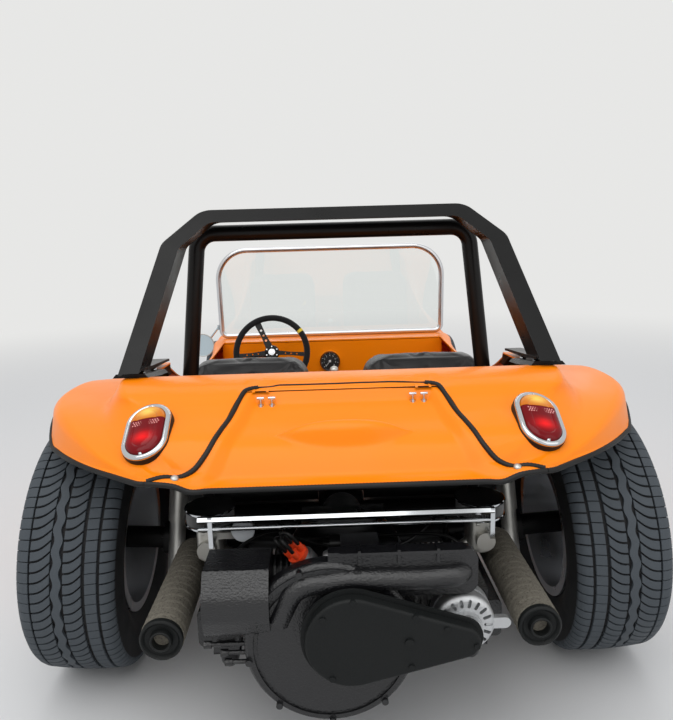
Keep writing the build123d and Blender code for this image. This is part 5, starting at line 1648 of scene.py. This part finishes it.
@dataclass
class TailLamps(SkinPart):
    """The two oval rear lamps: gasket, bright bezel, and an amber lens over a red one, each lens with a
    painted glow in its middle.
    """

    centre: Place = (0.430, REAR_AXLE_Y - 0.395, 0.768)
    face: Place = (0.25, -0.80, 0.55)
    tall: Place = (0.10, 0.55, 0.83)
    length: float = 0.156
    width: float = 0.102
    split: float = 0.026
    split_gap: float = 0.0004
    facets: int = 72
    stand: float = 0.003
    seat_share: float = 0.9
    seat_reach: float = 0.2
    # Outlines as (growth over the oval, height)
    gasket: Profile = ((0.0005, -0.030), (0.0025, 0.001), (0.002, 0.005), (-0.004, 0.005))
    bezel: Profile = (
        (0.000, 0.004), (0.0015, 0.007), (0.001, 0.011), (-0.002, 0.0145), (-0.006, 0.0155), (-0.0095, 0.014),
        (-0.0105, 0.010), (-0.0105, 0.004),
    )
    dome: Profile = (
        (-0.010, 0.004), (-0.010, 0.012), (-0.0115, 0.0165), (-0.015, 0.0195), (-0.021, 0.0215),
        (-0.026, 0.0220), (-0.028, 0.0208), (-0.036, 0.0222), (-0.044, 0.0228), (-0.0505, 0.023),
    )
    # Where the painted glow sits above and below the split, and its size across and along
    glow_places: tuple[float, float] = (0.022, -0.052)
    glow_size: tuple[float, float] = (0.020, 0.013)
    dimple: float = 0.0017
    dimple_rows: int = 3
    dimple_half: int = 5
    dimple_pitch: tuple[float, float] = (0.0055, 0.0048)
    dimple_start: float = 0.007
    dimple_height: float = 0.0212
    screw_inset: float = 0.0115
    screw_height: float = 0.0145
    screw: Profile = (
        (-0.006, 0.0), (-0.006, 0.0042), (0.0008, 0.0042), (0.0026, 0.0030), (0.0032, 0.0012), (0.0032, 0.0),
    )
    slot_half: float = 0.003
    slot_radius: float = 0.0006

    def build(self) -> None:
        """Seats both lamps on the rear panel."""
        self._seat()
        for side in Side:
            self._lamp(side)

    def _seat(self) -> None:
        """Turns the lamps to the panel and sets them a little over it."""
        middle, across, tall, face = self._axes(1)
        share = self.seat_share
        feet = []
        for u, v in ((0.0, share), (0.0, -share), (share, 0.0), (-share, 0.0)):
            start = middle + across * (u * self.width / 2) + tall * (v * self.length / 2)
            hit = self.surface.cast(start + face * self.seat_reach, -face)
            feet.append(hit[0] if hit else start)
        turned = (feet[2] - feet[3]).cross(feet[0] - feet[1]).normalized()
        turned = turned if turned.dot(face) > 0 else -turned
        heights = [(foot - middle).dot(turned) for foot in feet]
        middle += turned * (sum(heights) / len(heights) + self.stand)
        self.centre = tuple(middle)
        self.face = tuple(turned)

    def _axes(self, side: int) -> tuple[Vector, Vector, Vector, Vector]:
        """The lamp's middle and its directions across, along its length and outwards.

        Args:
            side: -1 left, 1 right.

        Returns:
            The middle and the three directions.
        """
        face = Vector((side * self.face[0], self.face[1], self.face[2])).normalized()
        tall = Vector((side * self.tall[0], self.tall[1], self.tall[2]))
        tall = (tall - face * tall.dot(face)).normalized()
        return Vector((side * self.centre[0], self.centre[1], self.centre[2])), tall.cross(face), tall, face

    def _oval(self, side: int, grow: float, height: float) -> list[Vector]:
        """One oval ring, larger or smaller than the lamp all round.

        Args:
            side: -1 left, 1 right.
            grow: How far it lies outside the lamp's edge.
            height: How far it stands out.

        Returns:
            The ring's points.
        """
        middle, across, tall, face = self._axes(side)
        radius = max(0.001, self.width / 2 + grow)
        half = max(0.0, (self.length - self.width) / 2 + min(0.0, self.width / 2 + grow - radius))
        ring = []
        for k in range(self.facets):
            turn = math.tau * k / self.facets
            u, v = radius * math.cos(turn), radius * math.sin(turn)
            v += math.copysign(half, v) if abs(v) > 1e-9 else 0.0
            ring.append(middle + across * u + tall * v + face * height)
        return ring

    def _ringed(self, name: str, side: int, profile: Profile, closed: bool = False) -> Piece:
        """A form over ovals given as (growth, height)."""
        return skinned(name, [self._oval(side, grow, height) for grow, height in profile], closed, 40.0)

    def _lamp(self, side: Side) -> None:
        """Builds one lamp.

        Args:
            side: The side it is on.
        """
        sign, word = side.value, side.word
        self.fit(self._ringed(f"tail_gasket_{word}", sign, self.gasket), "black_rubber", "black_vinyl")
        bezel = self._ringed(f"tail_bezel_{word}", sign, self.bezel, closed=True)
        self.fit(bezel, "chrome", "chrome", "tail_lamp_bases")
        for colour in ("lamp_amber", "lamp_red"):
            lens = self._ringed(f"tail_{colour}_{word}", sign, self.dome)
            self._halve(lens, sign, colour == "lamp_amber")
            self._glow(lens, sign, colour == "lamp_amber")
            self.fit(lens, colour, "lamp_red", "tail_lamp_lenses")
        # The beads' pale colour is painted glints
        self.fit(join(f"tail_dimples_{word}", self._dimples(sign)), "lens_bead_glint", "lamp_red")
        self.fit(join(f"tail_screws_{word}", self._screws(sign)), "chrome", "chrome")

    def _halve(self, lens: Piece, side: int, upper: bool) -> None:
        """Keeps the lens above or below the split and closes the cut.

        Args:
            lens: The lens.
            side: -1 left, 1 right.
            upper: Whether the part above is kept.
        """
        middle, _, tall, _ = self._axes(side)
        cut = self.split + (self.split_gap if upper else -self.split_gap)
        place = middle + tall * cut
        with editing(lens):
            bpy.ops.mesh.bisect(
                plane_co=place, plane_no=tall, use_fill=True, clear_inner=upper, clear_outer=not upper
            )
        close_up(lens)
        smooth(lens, 40.0)

    def _glow(self, lens: Piece, side: int, upper: bool) -> None:
        """Paints a brighter patch, a painted glow, in a lens's middle.

        Args:
            lens: The lens.
            side: -1 left, 1 right.
            upper: Whether it is the upper lens.
        """
        middle, across, tall, _ = self._axes(side)
        above, below = self.glow_places
        wide, high = self.glow_size
        heart = middle + tall * (self.split + (above if upper else below))
        with editing(lens):
            bpy.ops.mesh.quads_convert_to_tris(quad_method="BEAUTY", ngon_method="BEAUTY")
            bpy.ops.mesh.subdivide(number_cuts=2)

        def share(place: Vector, _: Vector) -> float:
            """The painted glow's strength at a place."""
            away = place - heart
            return math.exp(-((away.dot(across) / wide) ** 2) - (away.dot(tall) / high) ** 2)

        mark(lens, share)

    def _dimples(self, side: int) -> list[Piece]:
        """Three rows of small beads under the split.

        Args:
            side: -1 left, 1 right.

        Returns:
            The beads.
        """
        middle, across, tall, face = self._axes(side)
        step, drop = self.dimple_pitch
        beads = []
        for row in range(self.dimple_rows):
            down = self.split - self.dimple_start - row * drop
            for k in range(-self.dimple_half, self.dimple_half + 1):
                u = (k + 0.5 * (row % 2)) * step
                place = middle + across * u + tall * down + face * self.dimple_height
                tidy_selection()
                bpy.ops.mesh.primitive_ico_sphere_add(subdivisions=2, radius=self.dimple, location=place)
                beads.append(smooth(settle("bead"), 80.0))
        return beads

    def _screws(self, side: int) -> list[Piece]:
        """A slotted round-head screw at the top and the bottom of the bezel.

        Args:
            side: -1 left, 1 right.

        Returns:
            The screws' pieces.
        """
        middle, across, tall, face = self._axes(side)
        screws = []
        for end in (-1, 1):
            place = middle + tall * end * (self.length / 2 - self.screw_inset) + face * self.screw_height
            screws.append(lathe("screw", self.screw, place, face, 24, 50.0))
            beside, top = across * self.slot_half, place + face * self.slot_half
            screws.append(cylinder("slot", top + beside, top - beside, self.slot_radius, 8))
        return screws


@dataclass
class LidHardware(SkinPart):
    """The hinge screws at the lid's top corners and the studs at its lower corners."""

    screw_xs: tuple[float, ...] = (0.163, 0.189)
    screw_y: float = REAR_AXLE_Y - 0.300
    screw_z: float = 0.83
    sunk: float = 0.004
    washer: Profile = ((0.0, 0.0), (0.0, 0.0075), (0.0055, 0.0075), (0.0062, 0.0045), (0.0062, 0.0))
    head: Place = (0.0, -0.002, 0.020)
    stem_radius: float = 0.0028
    bar_half: float = 0.0085
    bar_radius: float = 0.0034
    bar_edge: float = 0.0008
    stud: tuple[float, float] = (0.352, REAR_AXLE_Y - 0.500)
    stud_z: float = 0.70
    stud_face: Place = (0.0, -0.5, 0.85)
    stud_lean: Place = (0.0, -0.6, 0.2)
    button: Profile = ((-0.004, 0.0), (-0.004, 0.0085), (0.003, 0.0085), (0.006, 0.006375), (0.0072, 0.0))

    def build(self) -> None:
        """Builds screws and studs on the lid."""
        screws, studs = [], []
        for side in Side:
            for x in self.screw_xs:
                screws += self._screw(side.value * x)
            x, y = side.value * self.stud[0], self.stud[1]
            hit = self.surface.cast(Vector((x, y, 1.0)), -UP)
            place, normal = hit if hit else (Vector((x, y, self.stud_z)), Vector(self.stud_face))
            outward = (normal + Vector(self.stud_lean)).normalized()
            studs.append(lathe("stud", self.button, place, outward, 32, 50.0))
        self.fit(join("lid_hinge_screws", screws), "chrome", "chrome", body="engine_lid")
        self.fit(join("lid_studs", studs), "zinc_steel", "zinc_steel", body="engine_lid")

    def _screw(self, x: float) -> list[Piece]:
        """One hinge screw: a washer, a stem and a cross bar.

        Args:
            x: Its place across the vehicle.

        Returns:
            Its pieces.
        """
        foot = Vector((x, self.screw_y, (self.surface.top(x, self.screw_y) or self.screw_z) - self.sunk))
        top, half = foot + Vector(self.head), RIGHT * self.bar_half
        return [
            lathe("washer", self.washer, foot, UP, 24, 40.0),
            cylinder("stem", foot, top, self.stem_radius, 16),
            cylinder("bar", top - half, top + half, self.bar_radius, 16, self.bar_edge),
        ]


@dataclass
class Silencers(Part):
    """The two silencers: a spiral of heat wrap, a black end plate and its short outlet."""

    x: float = 0.392
    z: float = 0.368
    radius: float = 0.046
    front: float = REAR_AXLE_Y - 0.160
    rear: float = REAR_AXLE_Y - 0.552
    cone: float = 0.016
    turn: float = 0.026
    ridge: float = 0.0013
    tuck: float = 0.010
    step: float = 0.0026
    facets: int = 48
    mouth: float = 0.55
    lap_edge: float = 0.12
    plate: Profile = (
        (-0.012, 0.0), (-0.012, 0.0445), (0.001, 0.0450), (0.004, 0.0425), (0.0045, 0.0400), (0.0015, 0.0370),
        (-0.002, 0.0345), (-0.003, 0.0240), (0.008, 0.0225), (0.0098, 0.0205), (0.008, 0.0175),
        (-0.040, 0.0170), (-0.040, 0.0),
    )

    def build(self) -> None:
        """Builds both silencers."""
        for side in Side:
            self.fit(self._wrap(side), "wrap", "wrap", "silencers")
            foot = Vector((side.value * self.x, self.rear, self.z))
            end = lathe(f"silencer_end_{side.word}", self.plate, foot, BACK, 64, 40.0)
            self.fit(end, "cover_black", "black_steel", "silencers")

    def _wrap(self, side: Side) -> Piece:
        """The body with one long strip wound round it, each turn lapping the last.

        Args:
            side: The side it is on.

        Returns:
            The body.
        """
        reach = self.front - self.rear - self.tuck
        count = round(reach / self.step)
        rings = []
        for i in range(count + 1):
            along = reach * i / count
            slope = smoothstep(-self.cone, self.cone, along)
            ring = []
            for k in range(self.facets):
                turn = math.tau * k / self.facets
                lap = (along / self.turn + side.value * k / self.facets) % 1.0
                edge = smoothstep(0.0, self.lap_edge, lap)
                r = self.radius * (self.mouth + (1.0 - self.mouth) * slope) - self.ridge * (1.0 - lap * edge)
                across, up = r * math.cos(turn), r * math.sin(turn)
                ring.append(Vector((side.value * self.x + across, self.front - along, self.z + up)))
            rings.append(ring)
        return skinned(f"silencer_wrap_{side.word}", rings, angle=60.0)


@dataclass
class Seats(Part):
    """The two bucket seats: one padded vinyl form each, with sewn channels, on a steel base."""

    x: float = 0.305
    half: float = 0.152
    base_z: float = 0.262
    foot_z: float = 0.231
    base_y: float = REAR_AXLE_Y + 0.79
    base_length: float = 0.36
    base_lap: float = 0.012
    base_edge: float = 0.006
    voxel: float = 0.006
    slack: float = 0.007
    pressure: float = 4.0
    tension: float = 20.0
    bending: float = 2.0
    cap: float = 0.014
    steps: int = 20
    fill: float = 0.8
    # The sewn channels of the back, above bend_z, and of the cushion
    bend_z: float = 0.43
    faces: tuple[float, float] = (0.25, 0.7)
    back_start: float = 0.452
    back_top: tuple[float, float] = (0.735, 0.715)
    top_z: float = 0.7
    cushion_start: float = -0.33
    cushion_end: float = -0.05
    channel: float = 0.006
    channel_depth: float = 0.008
    channel_pitch: float = 0.062
    seam_half: float = 0.130
    seam_fade: float = 0.01

    def build(self) -> None:
        """Builds the left seat and copies it to the right."""
        left = self._padded()
        right = left.copy()
        right.data = left.data.copy()
        bpy.context.collection.objects.link(right)
        right.data.transform(Matrix.Translation((2 * self.x, 0, 0)))
        for piece, side in ((left, Side.LEFT), (right, Side.RIGHT)):
            piece.name = piece.data.name = f"seat_cushion_{side.word}"
            self.fit(piece, "black_vinyl", "black_vinyl", f"seat_{side.word}")
            self.fit(self._base(side), "black_steel", "black_steel", f"seat_{side.word}")

    def _padded(self) -> Piece:
        """The left seat's form, blown up as cloth from a slightly smaller one, then sewn.

        Returns:
            The padded seat.
        """
        piece = node_copy("seat_left", "seat_cushion")
        with editing(piece):
            bpy.ops.mesh.bisect(
                plane_co=(0, 0, self.base_z), plane_no=UP, use_fill=True, clear_inner=True, clear_outer=False
            )
        remesh = piece.modifiers.new("even", "REMESH")
        remesh.mode = "VOXEL"
        remesh.voxel_size = self.voxel
        apply_all(piece)
        shift(piece, lambda place, normal: place - normal * self.slack)
        self._blow(piece)
        shift(piece, self._sewn)
        low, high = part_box("seat_left")
        shift(piece, lambda place, _: Vector(min(max(v, a), b) for v, a, b in zip(place, low, high)))
        return smooth(piece, 70.0)

    def _blow(self, piece: Piece) -> None:
        """Lets the skin swell under pressure, each point by no more than the cap.

        Args:
            piece: The form.
        """
        start = [vertex.co.copy() for vertex in piece.data.vertices]
        cloth = piece.modifiers.new("padding", "CLOTH")
        cloth.settings.use_pressure = True
        cloth.settings.uniform_pressure_force = self.pressure
        cloth.settings.effector_weights.gravity = 0.0
        cloth.settings.tension_stiffness = self.tension
        cloth.settings.bending_stiffness = self.bending
        scene = bpy.context.scene
        for number in range(1, self.steps + 1):
            scene.frame_set(number)
        apply_all(piece)
        scene.frame_set(1)
        for vertex, before in zip(piece.data.vertices, start):
            moved = vertex.co - before
            if moved.length > self.cap:
                vertex.co = before + moved * (self.cap / moved.length)
        piece.data.update()

    def _sewn(self, place: Vector, normal: Vector) -> Vector:
        """Draws a point in where a sewn channel crosses the seat's front.

        Args:
            place: The point.
            normal: Its normal.

        Returns:
            Its new place.
        """
        beside = abs(place.x + self.x)
        back = place.z > self.bend_z
        front = smoothstep(*self.faces, normal.y if back else normal.z)
        if back:
            along = (place.z - self.back_start) % self.channel_pitch
            reach = smoothstep(*self.back_top, place.z) if place.z > self.top_z else 1.0
        else:
            along = (place.y - self.cushion_start) % self.channel_pitch
            reach = 1.0 if place.y < self.cushion_end else 0.0
        along = min(along, self.channel_pitch - along)
        across = 1.0 - smoothstep(self.seam_half, self.seam_half + self.seam_fade, beside)
        line = math.exp(-((along / self.channel) ** 2)) * across * reach
        edge = math.exp(-(((beside - self.seam_half) / self.channel) ** 2)) * reach
        return place - normal * self.channel_depth * front * max(line, edge)

    def _base(self, side: Side) -> Piece:
        """The pressed steel base under a cushion.

        Args:
            side: The side it is on.

        Returns:
            The base.
        """
        tidy_selection()
        middle = (side.value * self.x, self.base_y, (self.foot_z + self.base_z) / 2)
        bpy.ops.mesh.primitive_cube_add(size=1.0, location=middle)
        height = self.base_z - self.foot_z + self.base_lap
        bpy.context.object.scale = (2 * self.half, self.base_length, height)
        piece = settle(f"seat_base_{side.word}")
        with editing(piece):
            bpy.ops.mesh.bevel(offset=self.base_edge, segments=2)
        return smooth(piece)


@dataclass
class HelmWheel(Part):
    """The steering wheel: a suede rim with a yellow band, three drilled spokes and a plain hub."""

    centre: Place = (-0.280, REAR_AXLE_Y + 1.200, 0.656)
    foot: Place = (-0.280, FRONT_AXLE_Y, 0.318)
    ring: float = 0.161
    ring_turns: tuple[int, int, int] = (0, 360, 15)
    ring_step: float = 0.008
    grip: float = 0.0138
    facets: int = 20
    turns: tuple[float, ...] = (115.0, -5.0, 185.0)
    widths: tuple[float, ...] = (0.028, 0.018, 0.018)
    band_turns: tuple[float, ...] = (33.6, 34.8, 36.0, 37.2, 38.4)
    band_rise: float = 0.0003
    band_step: float = 0.003
    # A spoke's distances from the middle with its half widths as shares of its width, and its holes
    spoke: Profile = ((0.020, 0.62), (0.085, 0.42), (0.161, 0.55))
    spoke_half: float = 0.002
    spoke_back: float = 0.004
    holes: tuple[float, ...] = (0.062, 0.088, 0.114)
    hole_share: float = 0.20
    hole_half: float = 0.02
    hub_back: float = 0.002
    hub: Profile = (
        (-0.030, 0.0), (-0.030, 0.030), (-0.012, 0.034), (-0.004, 0.034), (0.0, 0.031), (0.0, 0.0),
    )
    shaft: Three = (0.030, 0.160, 0.0105)
    cap: Profile = ((0.0, 0.0), (0.0, 0.0175), (0.004, 0.0170), (0.0065, 0.0145), (0.0072, 0.0))
    bolt_turns: tuple[int, int, int] = (30, 390, 60)
    bolt_ring: float = 0.0265
    bolt_height: float = 0.0035
    bolt_radius: float = 0.0034
    bolt_edge: float = 0.0007

    @property
    def axes(self) -> tuple[Vector, Vector, Vector]:
        """The directions to the right, upwards in the wheel's plane, and towards the driver."""
        back = (Vector(self.centre) - Vector(self.foot)).normalized()
        return RIGHT, back.cross(RIGHT), back

    def at(self, turn: float, reach: float, out: float = 0.0) -> Vector:
        """A point in the wheel's plane at an angle in degrees and a distance from the middle.

        Args:
            turn: The angle.
            reach: The distance.
            out: How far towards the driver.

        Returns:
            The point.
        """
        right, up, back = self.axes
        angle = math.radians(turn)
        return Vector(self.centre) + (right * math.cos(angle) + up * math.sin(angle)) * reach + back * out

    def build(self) -> None:
        """Builds the wheel on its own body."""
        body = "steering_wheel"
        run = [self.at(turn, self.ring) for turn in range(*self.ring_turns)]
        rim = tube("steering_rim", run, self.grip, self.ring_step, self.facets, closed=True)
        self.fit(rim, "suede", "black_vinyl", body, body=body)
        run = [self.at(turn, self.ring) for turn in self.band_turns]
        band = tube("steering_band", run, self.grip + self.band_rise, self.band_step, self.facets)
        self.fit(band, "yellow_cloth", "black_vinyl", body=body)
        spokes = [self._spoke(turn, width) for turn, width in zip(self.turns, self.widths)]
        back = self.axes[2]
        middle, face = Vector(self.centre), Vector(self.centre) - back * self.hub_back
        start, end, radius = self.shaft
        spokes.append(lathe("hub", self.hub, face, back, 48, 40.0))
        spokes.append(cylinder("shaft", middle - back * start, middle - back * end, radius, 24))
        self.fit(join("steering_spokes", spokes), "black_steel", "black_steel", body, body=body)
        bright = [lathe("cap", self.cap, face, back, 40, 40.0)]
        for turn in range(*self.bolt_turns):
            foot = self.at(turn, self.bolt_ring, -self.hub_back)
            head = foot + back * self.bolt_height
            bright.append(cylinder("bolt", foot, head, self.bolt_radius, 12, self.bolt_edge))
        self.fit(join("steering_hub_cap", bright), "bright_alloy", "bright_alloy", body=body)

    def _spoke(self, turn: float, width: float) -> Piece:
        """One flat spoke that narrows outwards, with three drilled holes.

        Args:
            turn: Its direction in degrees.
            width: Its width.

        Returns:
            The spoke.
        """
        right, up, back = self.axes
        middle = Vector(self.centre)
        angle = math.radians(turn)
        out = right * math.cos(angle) + up * math.sin(angle)
        beside = back.cross(out)
        rings = []
        for reach, share in self.spoke:
            side, foot = beside * (width * share), middle + out * reach - back * self.spoke_back
            thick = back * self.spoke_half
            rings.append([foot - side - thick, foot + side - thick, foot + side + thick, foot - side + thick])
        spoke = skinned("spoke", rings)
        for reach in self.holes:
            place, half = middle + out * reach, back * self.hole_half
            hole = cylinder("hole", place - half, place + half, width * self.hole_share, 20)
            cut = spoke.modifiers.new("hole", "BOOLEAN")
            cut.operation = "DIFFERENCE"
            cut.object = hole
            apply_all(spoke)
            bpy.data.objects.remove(hole, do_unlink=True)
        return smooth(spoke, 30.0)


@dataclass
class Dial(Part):
    """The gauge's face: a dark disc, a ring of marks with plain numbers, and a needle."""

    centre: Place = (-0.015, FRONT_AXLE_Y - 0.589, 0.560)
    numbers: int = 9
    start: float = 225.0
    sweep: float = 270.0
    face: Profile = ((0.004, 0.0), (0.004, 0.0438), (0.0095, 0.0438), (0.0098, 0.0428), (0.0098, 0.0))
    mark: Three = (0.036, 0.042, 0.0008)
    mark_height: float = 0.0102
    number_ring: float = 0.0285
    number_height: float = 0.0100
    number_size: float = 0.011
    number_relief: float = 0.0002
    needle_turn: float = 232.0
    needle: Three = (-0.008, 0.034, 0.0011)
    needle_height: float = 0.0125
    boss: Profile = ((0.0095, 0.0), (0.0095, 0.006), (0.0135, 0.0055), (0.0140, 0.0))

    def at(self, turn: float, reach: float, out: float) -> Vector:
        """A point over the dial at an angle in degrees.

        Args:
            turn: The angle.
            reach: The distance from the middle.
            out: The height over the face.

        Returns:
            The point.
        """
        angle = math.radians(turn)
        x, y, z = self.centre
        return Vector((x + reach * math.cos(angle), y - out, z + reach * math.sin(angle)))

    def build(self) -> None:
        """Builds the dial inside the bezel."""
        middle = Vector(self.centre)
        self.fit(lathe("gauge_dial", self.face, middle, BACK, 64, 40.0), "dial_face", "black_vinyl")
        ink = []
        for i in range(self.numbers):
            turn = self.start - self.sweep * i / (self.numbers - 1)
            ink.append(self._line("mark", turn, self.mark, self.mark_height, 6))
            ink.append(self._number(str(i), self.at(turn, self.number_ring, self.number_height)))
        ink.append(self._line("needle", self.needle_turn, self.needle, self.needle_height, 8))
        ink.append(lathe("boss", self.boss, middle, BACK, 24, 40.0))
        self.fit(join("gauge_marks", ink), "dial_ink", "bright_alloy")

    def _line(self, name: str, turn: float, line: Three, height: float, sides: int) -> Piece:
        """A thin bar over the dial, from one distance to another."""
        start, end, radius = line
        return cylinder(name, self.at(turn, start, height), self.at(turn, end, height), radius, sides)

    def _number(self, word: str, place: Vector) -> Piece:
        """One raised number facing the driver.

        Args:
            word: The number.
            place: Its middle.

        Returns:
            The number as a mesh.
        """
        tidy_selection()
        bpy.ops.object.text_add(location=place, rotation=(math.pi / 2, 0, 0))
        words = bpy.context.object
        words.data.body = word
        words.data.size = self.number_size
        words.data.extrude = self.number_relief
        words.data.resolution_u = 2
        words.data.align_x = "CENTER"
        words.data.align_y = "CENTER"
        bpy.ops.object.convert(target="MESH")
        return settle("number")


@dataclass
class EngineTrim(Part):
    """Filters with pleats and bright rims, the pale damper disc and the mirror's rim."""

    filter: Place = (0.322, REAR_AXLE_Y - 0.300, 0.5103)
    filter_h: float = 0.044
    plate_h: float = 0.0085
    plate: Profile = (
        (0.0, 0.0), (0.0, 0.057), (0.001, 0.059), (0.003, 0.060), (0.0065, 0.060), (0.0080, 0.0585),
        (0.0084, 0.056), (0.0084, 0.0),
    )
    pleat_r: float = 0.0565
    pleat: float = 0.0042
    pleats: int = 56
    pleat_end: float = 0.006
    damper: Place = (-0.240, REAR_AXLE_Y - 0.346, 0.508)
    disc: Profile = (
        (0.0, 0.0), (0.0, 0.0265), (0.003, 0.0272), (0.0055, 0.0255), (0.0065, 0.020), (0.0050, 0.0),
    )
    mirror: Place = (-0.664, REAR_AXLE_Y + 1.595, 0.634)
    rim: Profile = (
        (0.0, 0.0545), (-0.0035, 0.0560), (-0.0035, 0.0585), (0.004, 0.0595), (0.010, 0.0580),
        (0.010, 0.0545), (0.0, 0.0545),
    )

    def build(self) -> None:
        """Builds all of it."""
        x, y, low = self.filter
        for side in Side:
            foot = Vector((side.value * x, y, low))
            feet = (foot, foot + UP * (self.filter_h - self.plate_h))
            rims = [lathe("plate", self.plate, place, UP, 72, 35.0) for place in feet]
            self.fit(join(f"filter_rims_{side.word}", rims), "chrome", "chrome", "air_filters")
            self.fit(self._paper(foot, f"filter_pleats_{side.word}"), "pleats", "zinc_steel", "air_filters")
        self.fit(lathe("damper_disc", self.disc, self.damper, BACK, 48, 35.0), "pale_disc", "zinc_steel")
        self.fit(lathe("mirror_rim", self.rim, self.mirror, AHEAD, 64, 40.0), "zinc_steel", "zinc_steel")

    def _paper(self, foot: Vector, name: str) -> Piece:
        """The pleated ring between the plates.

        Args:
            foot: The filter's foot.
            name: The piece's name.

        Returns:
            The ring.
        """
        rings = []
        for height in (self.pleat_end, self.filter_h / 2, self.filter_h - self.pleat_end):
            ring = []
            for k in range(self.pleats * 2):
                turn = math.tau * k / (self.pleats * 2)
                r = self.pleat_r - (self.pleat if k % 2 else 0.0)
                ring.append(foot + Vector((r * math.cos(turn), r * math.sin(turn), height)))
            rings.append(ring)
        return skinned(name, rings, angle=20.0)


@dataclass
class LampCowls(SkinPart):
    """The moulding's skin carried on over each headlamp's opening."""

    x: float = 0.505
    half: float = 0.0865
    start: float = FRONT_AXLE_Y + 0.165
    end: float = FRONT_AXLE_Y + 0.382
    rows: int = 22
    columns: int = 20
    sink: float = 0.0016
    thickness: float = 0.003
    skin_floor: float = 0.3
    no_skin: float = 0.5

    def build(self) -> None:
        """Builds both cowls as curved sheets between the skin on either side."""
        for side in Side:
            middle = side.value * self.x
            tidy_selection()
            bpy.ops.mesh.primitive_grid_add(x_subdivisions=self.columns, y_subdivisions=self.rows, size=1.0)
            piece = settle(f"headlamp_cowl_{side.word}")
            for vertex in piece.data.vertices:
                across, along = vertex.co.x + 0.5, vertex.co.y + 0.5
                y = self.start + (self.end - self.start) * along
                height = self._height(middle, across, y)
                vertex.co = (middle + (across - 0.5) * 2 * self.half, y, height)
            self.fit(smooth(wall(piece, self.thickness), 40.0), "body_gloss", "body_gloss")

    def _height(self, middle: float, across: float, y: float) -> float:
        """A smooth height over the opening from the skin at both its sides.

        Args:
            middle: The cowl's middle across the vehicle.
            across: How far over the cowl, from 0 to 1.
            y: The place along the vehicle.

        Returns:
            The height.
        """
        near = [self.surface.top(middle + (k - 0.5) * 2 * self.half, y) for k in (-1, 0, 1, 2)]
        low = near[1] if near[1] is not None else near[2]
        high = near[2] if near[2] is not None else low
        if low is None or high is None:
            return self.no_skin
        before = near[0] if near[0] is not None else 2 * low - high
        after = near[3] if near[3] is not None and near[3] > self.skin_floor else 2 * high - low
        return curve_through(before, low, high, after, across) - self.sink


@dataclass
class ArchFeet(SkinPart):
    """The flared black feet of the roll arch on the deck, with their bright bolts."""

    # Across, along from the rear axle, thickness and half width
    line: tuple[Four, ...] = (
        (0.520, -0.176, 0.010, 0.044), (0.505, -0.100, 0.010, 0.042), (0.500, -0.030, 0.009, 0.038),
        (0.497, 0.040, 0.008, 0.032), (0.495, 0.110, 0.006, 0.024),
    )
    top_share: float = 0.8
    plate_lift: float = 0.0003
    bolts: Profile = ((0.505, -0.125), (0.500, -0.030), (0.496, 0.070))
    bolt_lift: float = 0.008
    dome: Profile = ((0.0, 0.0), (0.0, 0.0085), (0.003, 0.0085), (0.006, 0.005), (0.007, 0.0))
    above: float = 0.95
    deck_z: float = 0.84

    def build(self) -> None:
        """Builds both feet on the deck."""
        plates, heads = [], []
        for side in Side:
            rings = []
            for x, along, thick, half in self.line:
                foot = self._on(side.value * x, along, self.plate_lift)
                top = half * self.top_share
                ring = ((-half, 0.0), (-top, thick), (top, thick), (half, 0.0))
                rings.append([foot + Vector((side.value * across, 0.0, up)) for across, up in ring])
            plates.append(skinned("plate", rings))
            for x, along in self.bolts:
                foot = self._on(side.value * x, along, self.bolt_lift)
                heads.append(lathe("bolt", self.dome, foot, UP, 24, 50.0))
        self.fit(join("arch_foot_plates", plates), "black_steel", "black_steel")
        self.fit(join("arch_foot_bolts", heads), "chrome", "chrome")

    def _on(self, x: float, along: float, lift: float) -> Vector:
        """A place a little over the deck."""
        y = REAR_AXLE_Y + along
        return Vector((x, y, (self.surface.top(x, y, self.above) or self.deck_z) + lift))


def main() -> None:
    """Builds the stage and every sub-assembly in order."""
    logging.basicConfig(level=logging.INFO, format="%(message)s")
    works = Workshop()
    Studio().build()
    works.dress_nodes()
    bodywork = Bodywork(works)
    surface = bodywork.build()
    Welts(works, surface).build(bodywork.lid)
    for kind in (TailLamps, LidHardware):
        kind(works, surface).build()
    for kind in (Silencers, Seats, HelmWheel, Dial, EngineTrim):
        kind(works).build()
    for kind in (ArchFeet, LampCowls):
        kind(works, surface).build()
    for side in Side:
        Tyre(works, "rear", side, 0.675, REAR_AXLE_Y, CAMBER, radius=0.345, width=0.236, pitches=84).build()
        Tyre(works, "front", side, 0.620, FRONT_AXLE_Y, 0.0, radius=0.292, width=0.165, pitches=76).build()


if __name__ == "__main__":
    main()
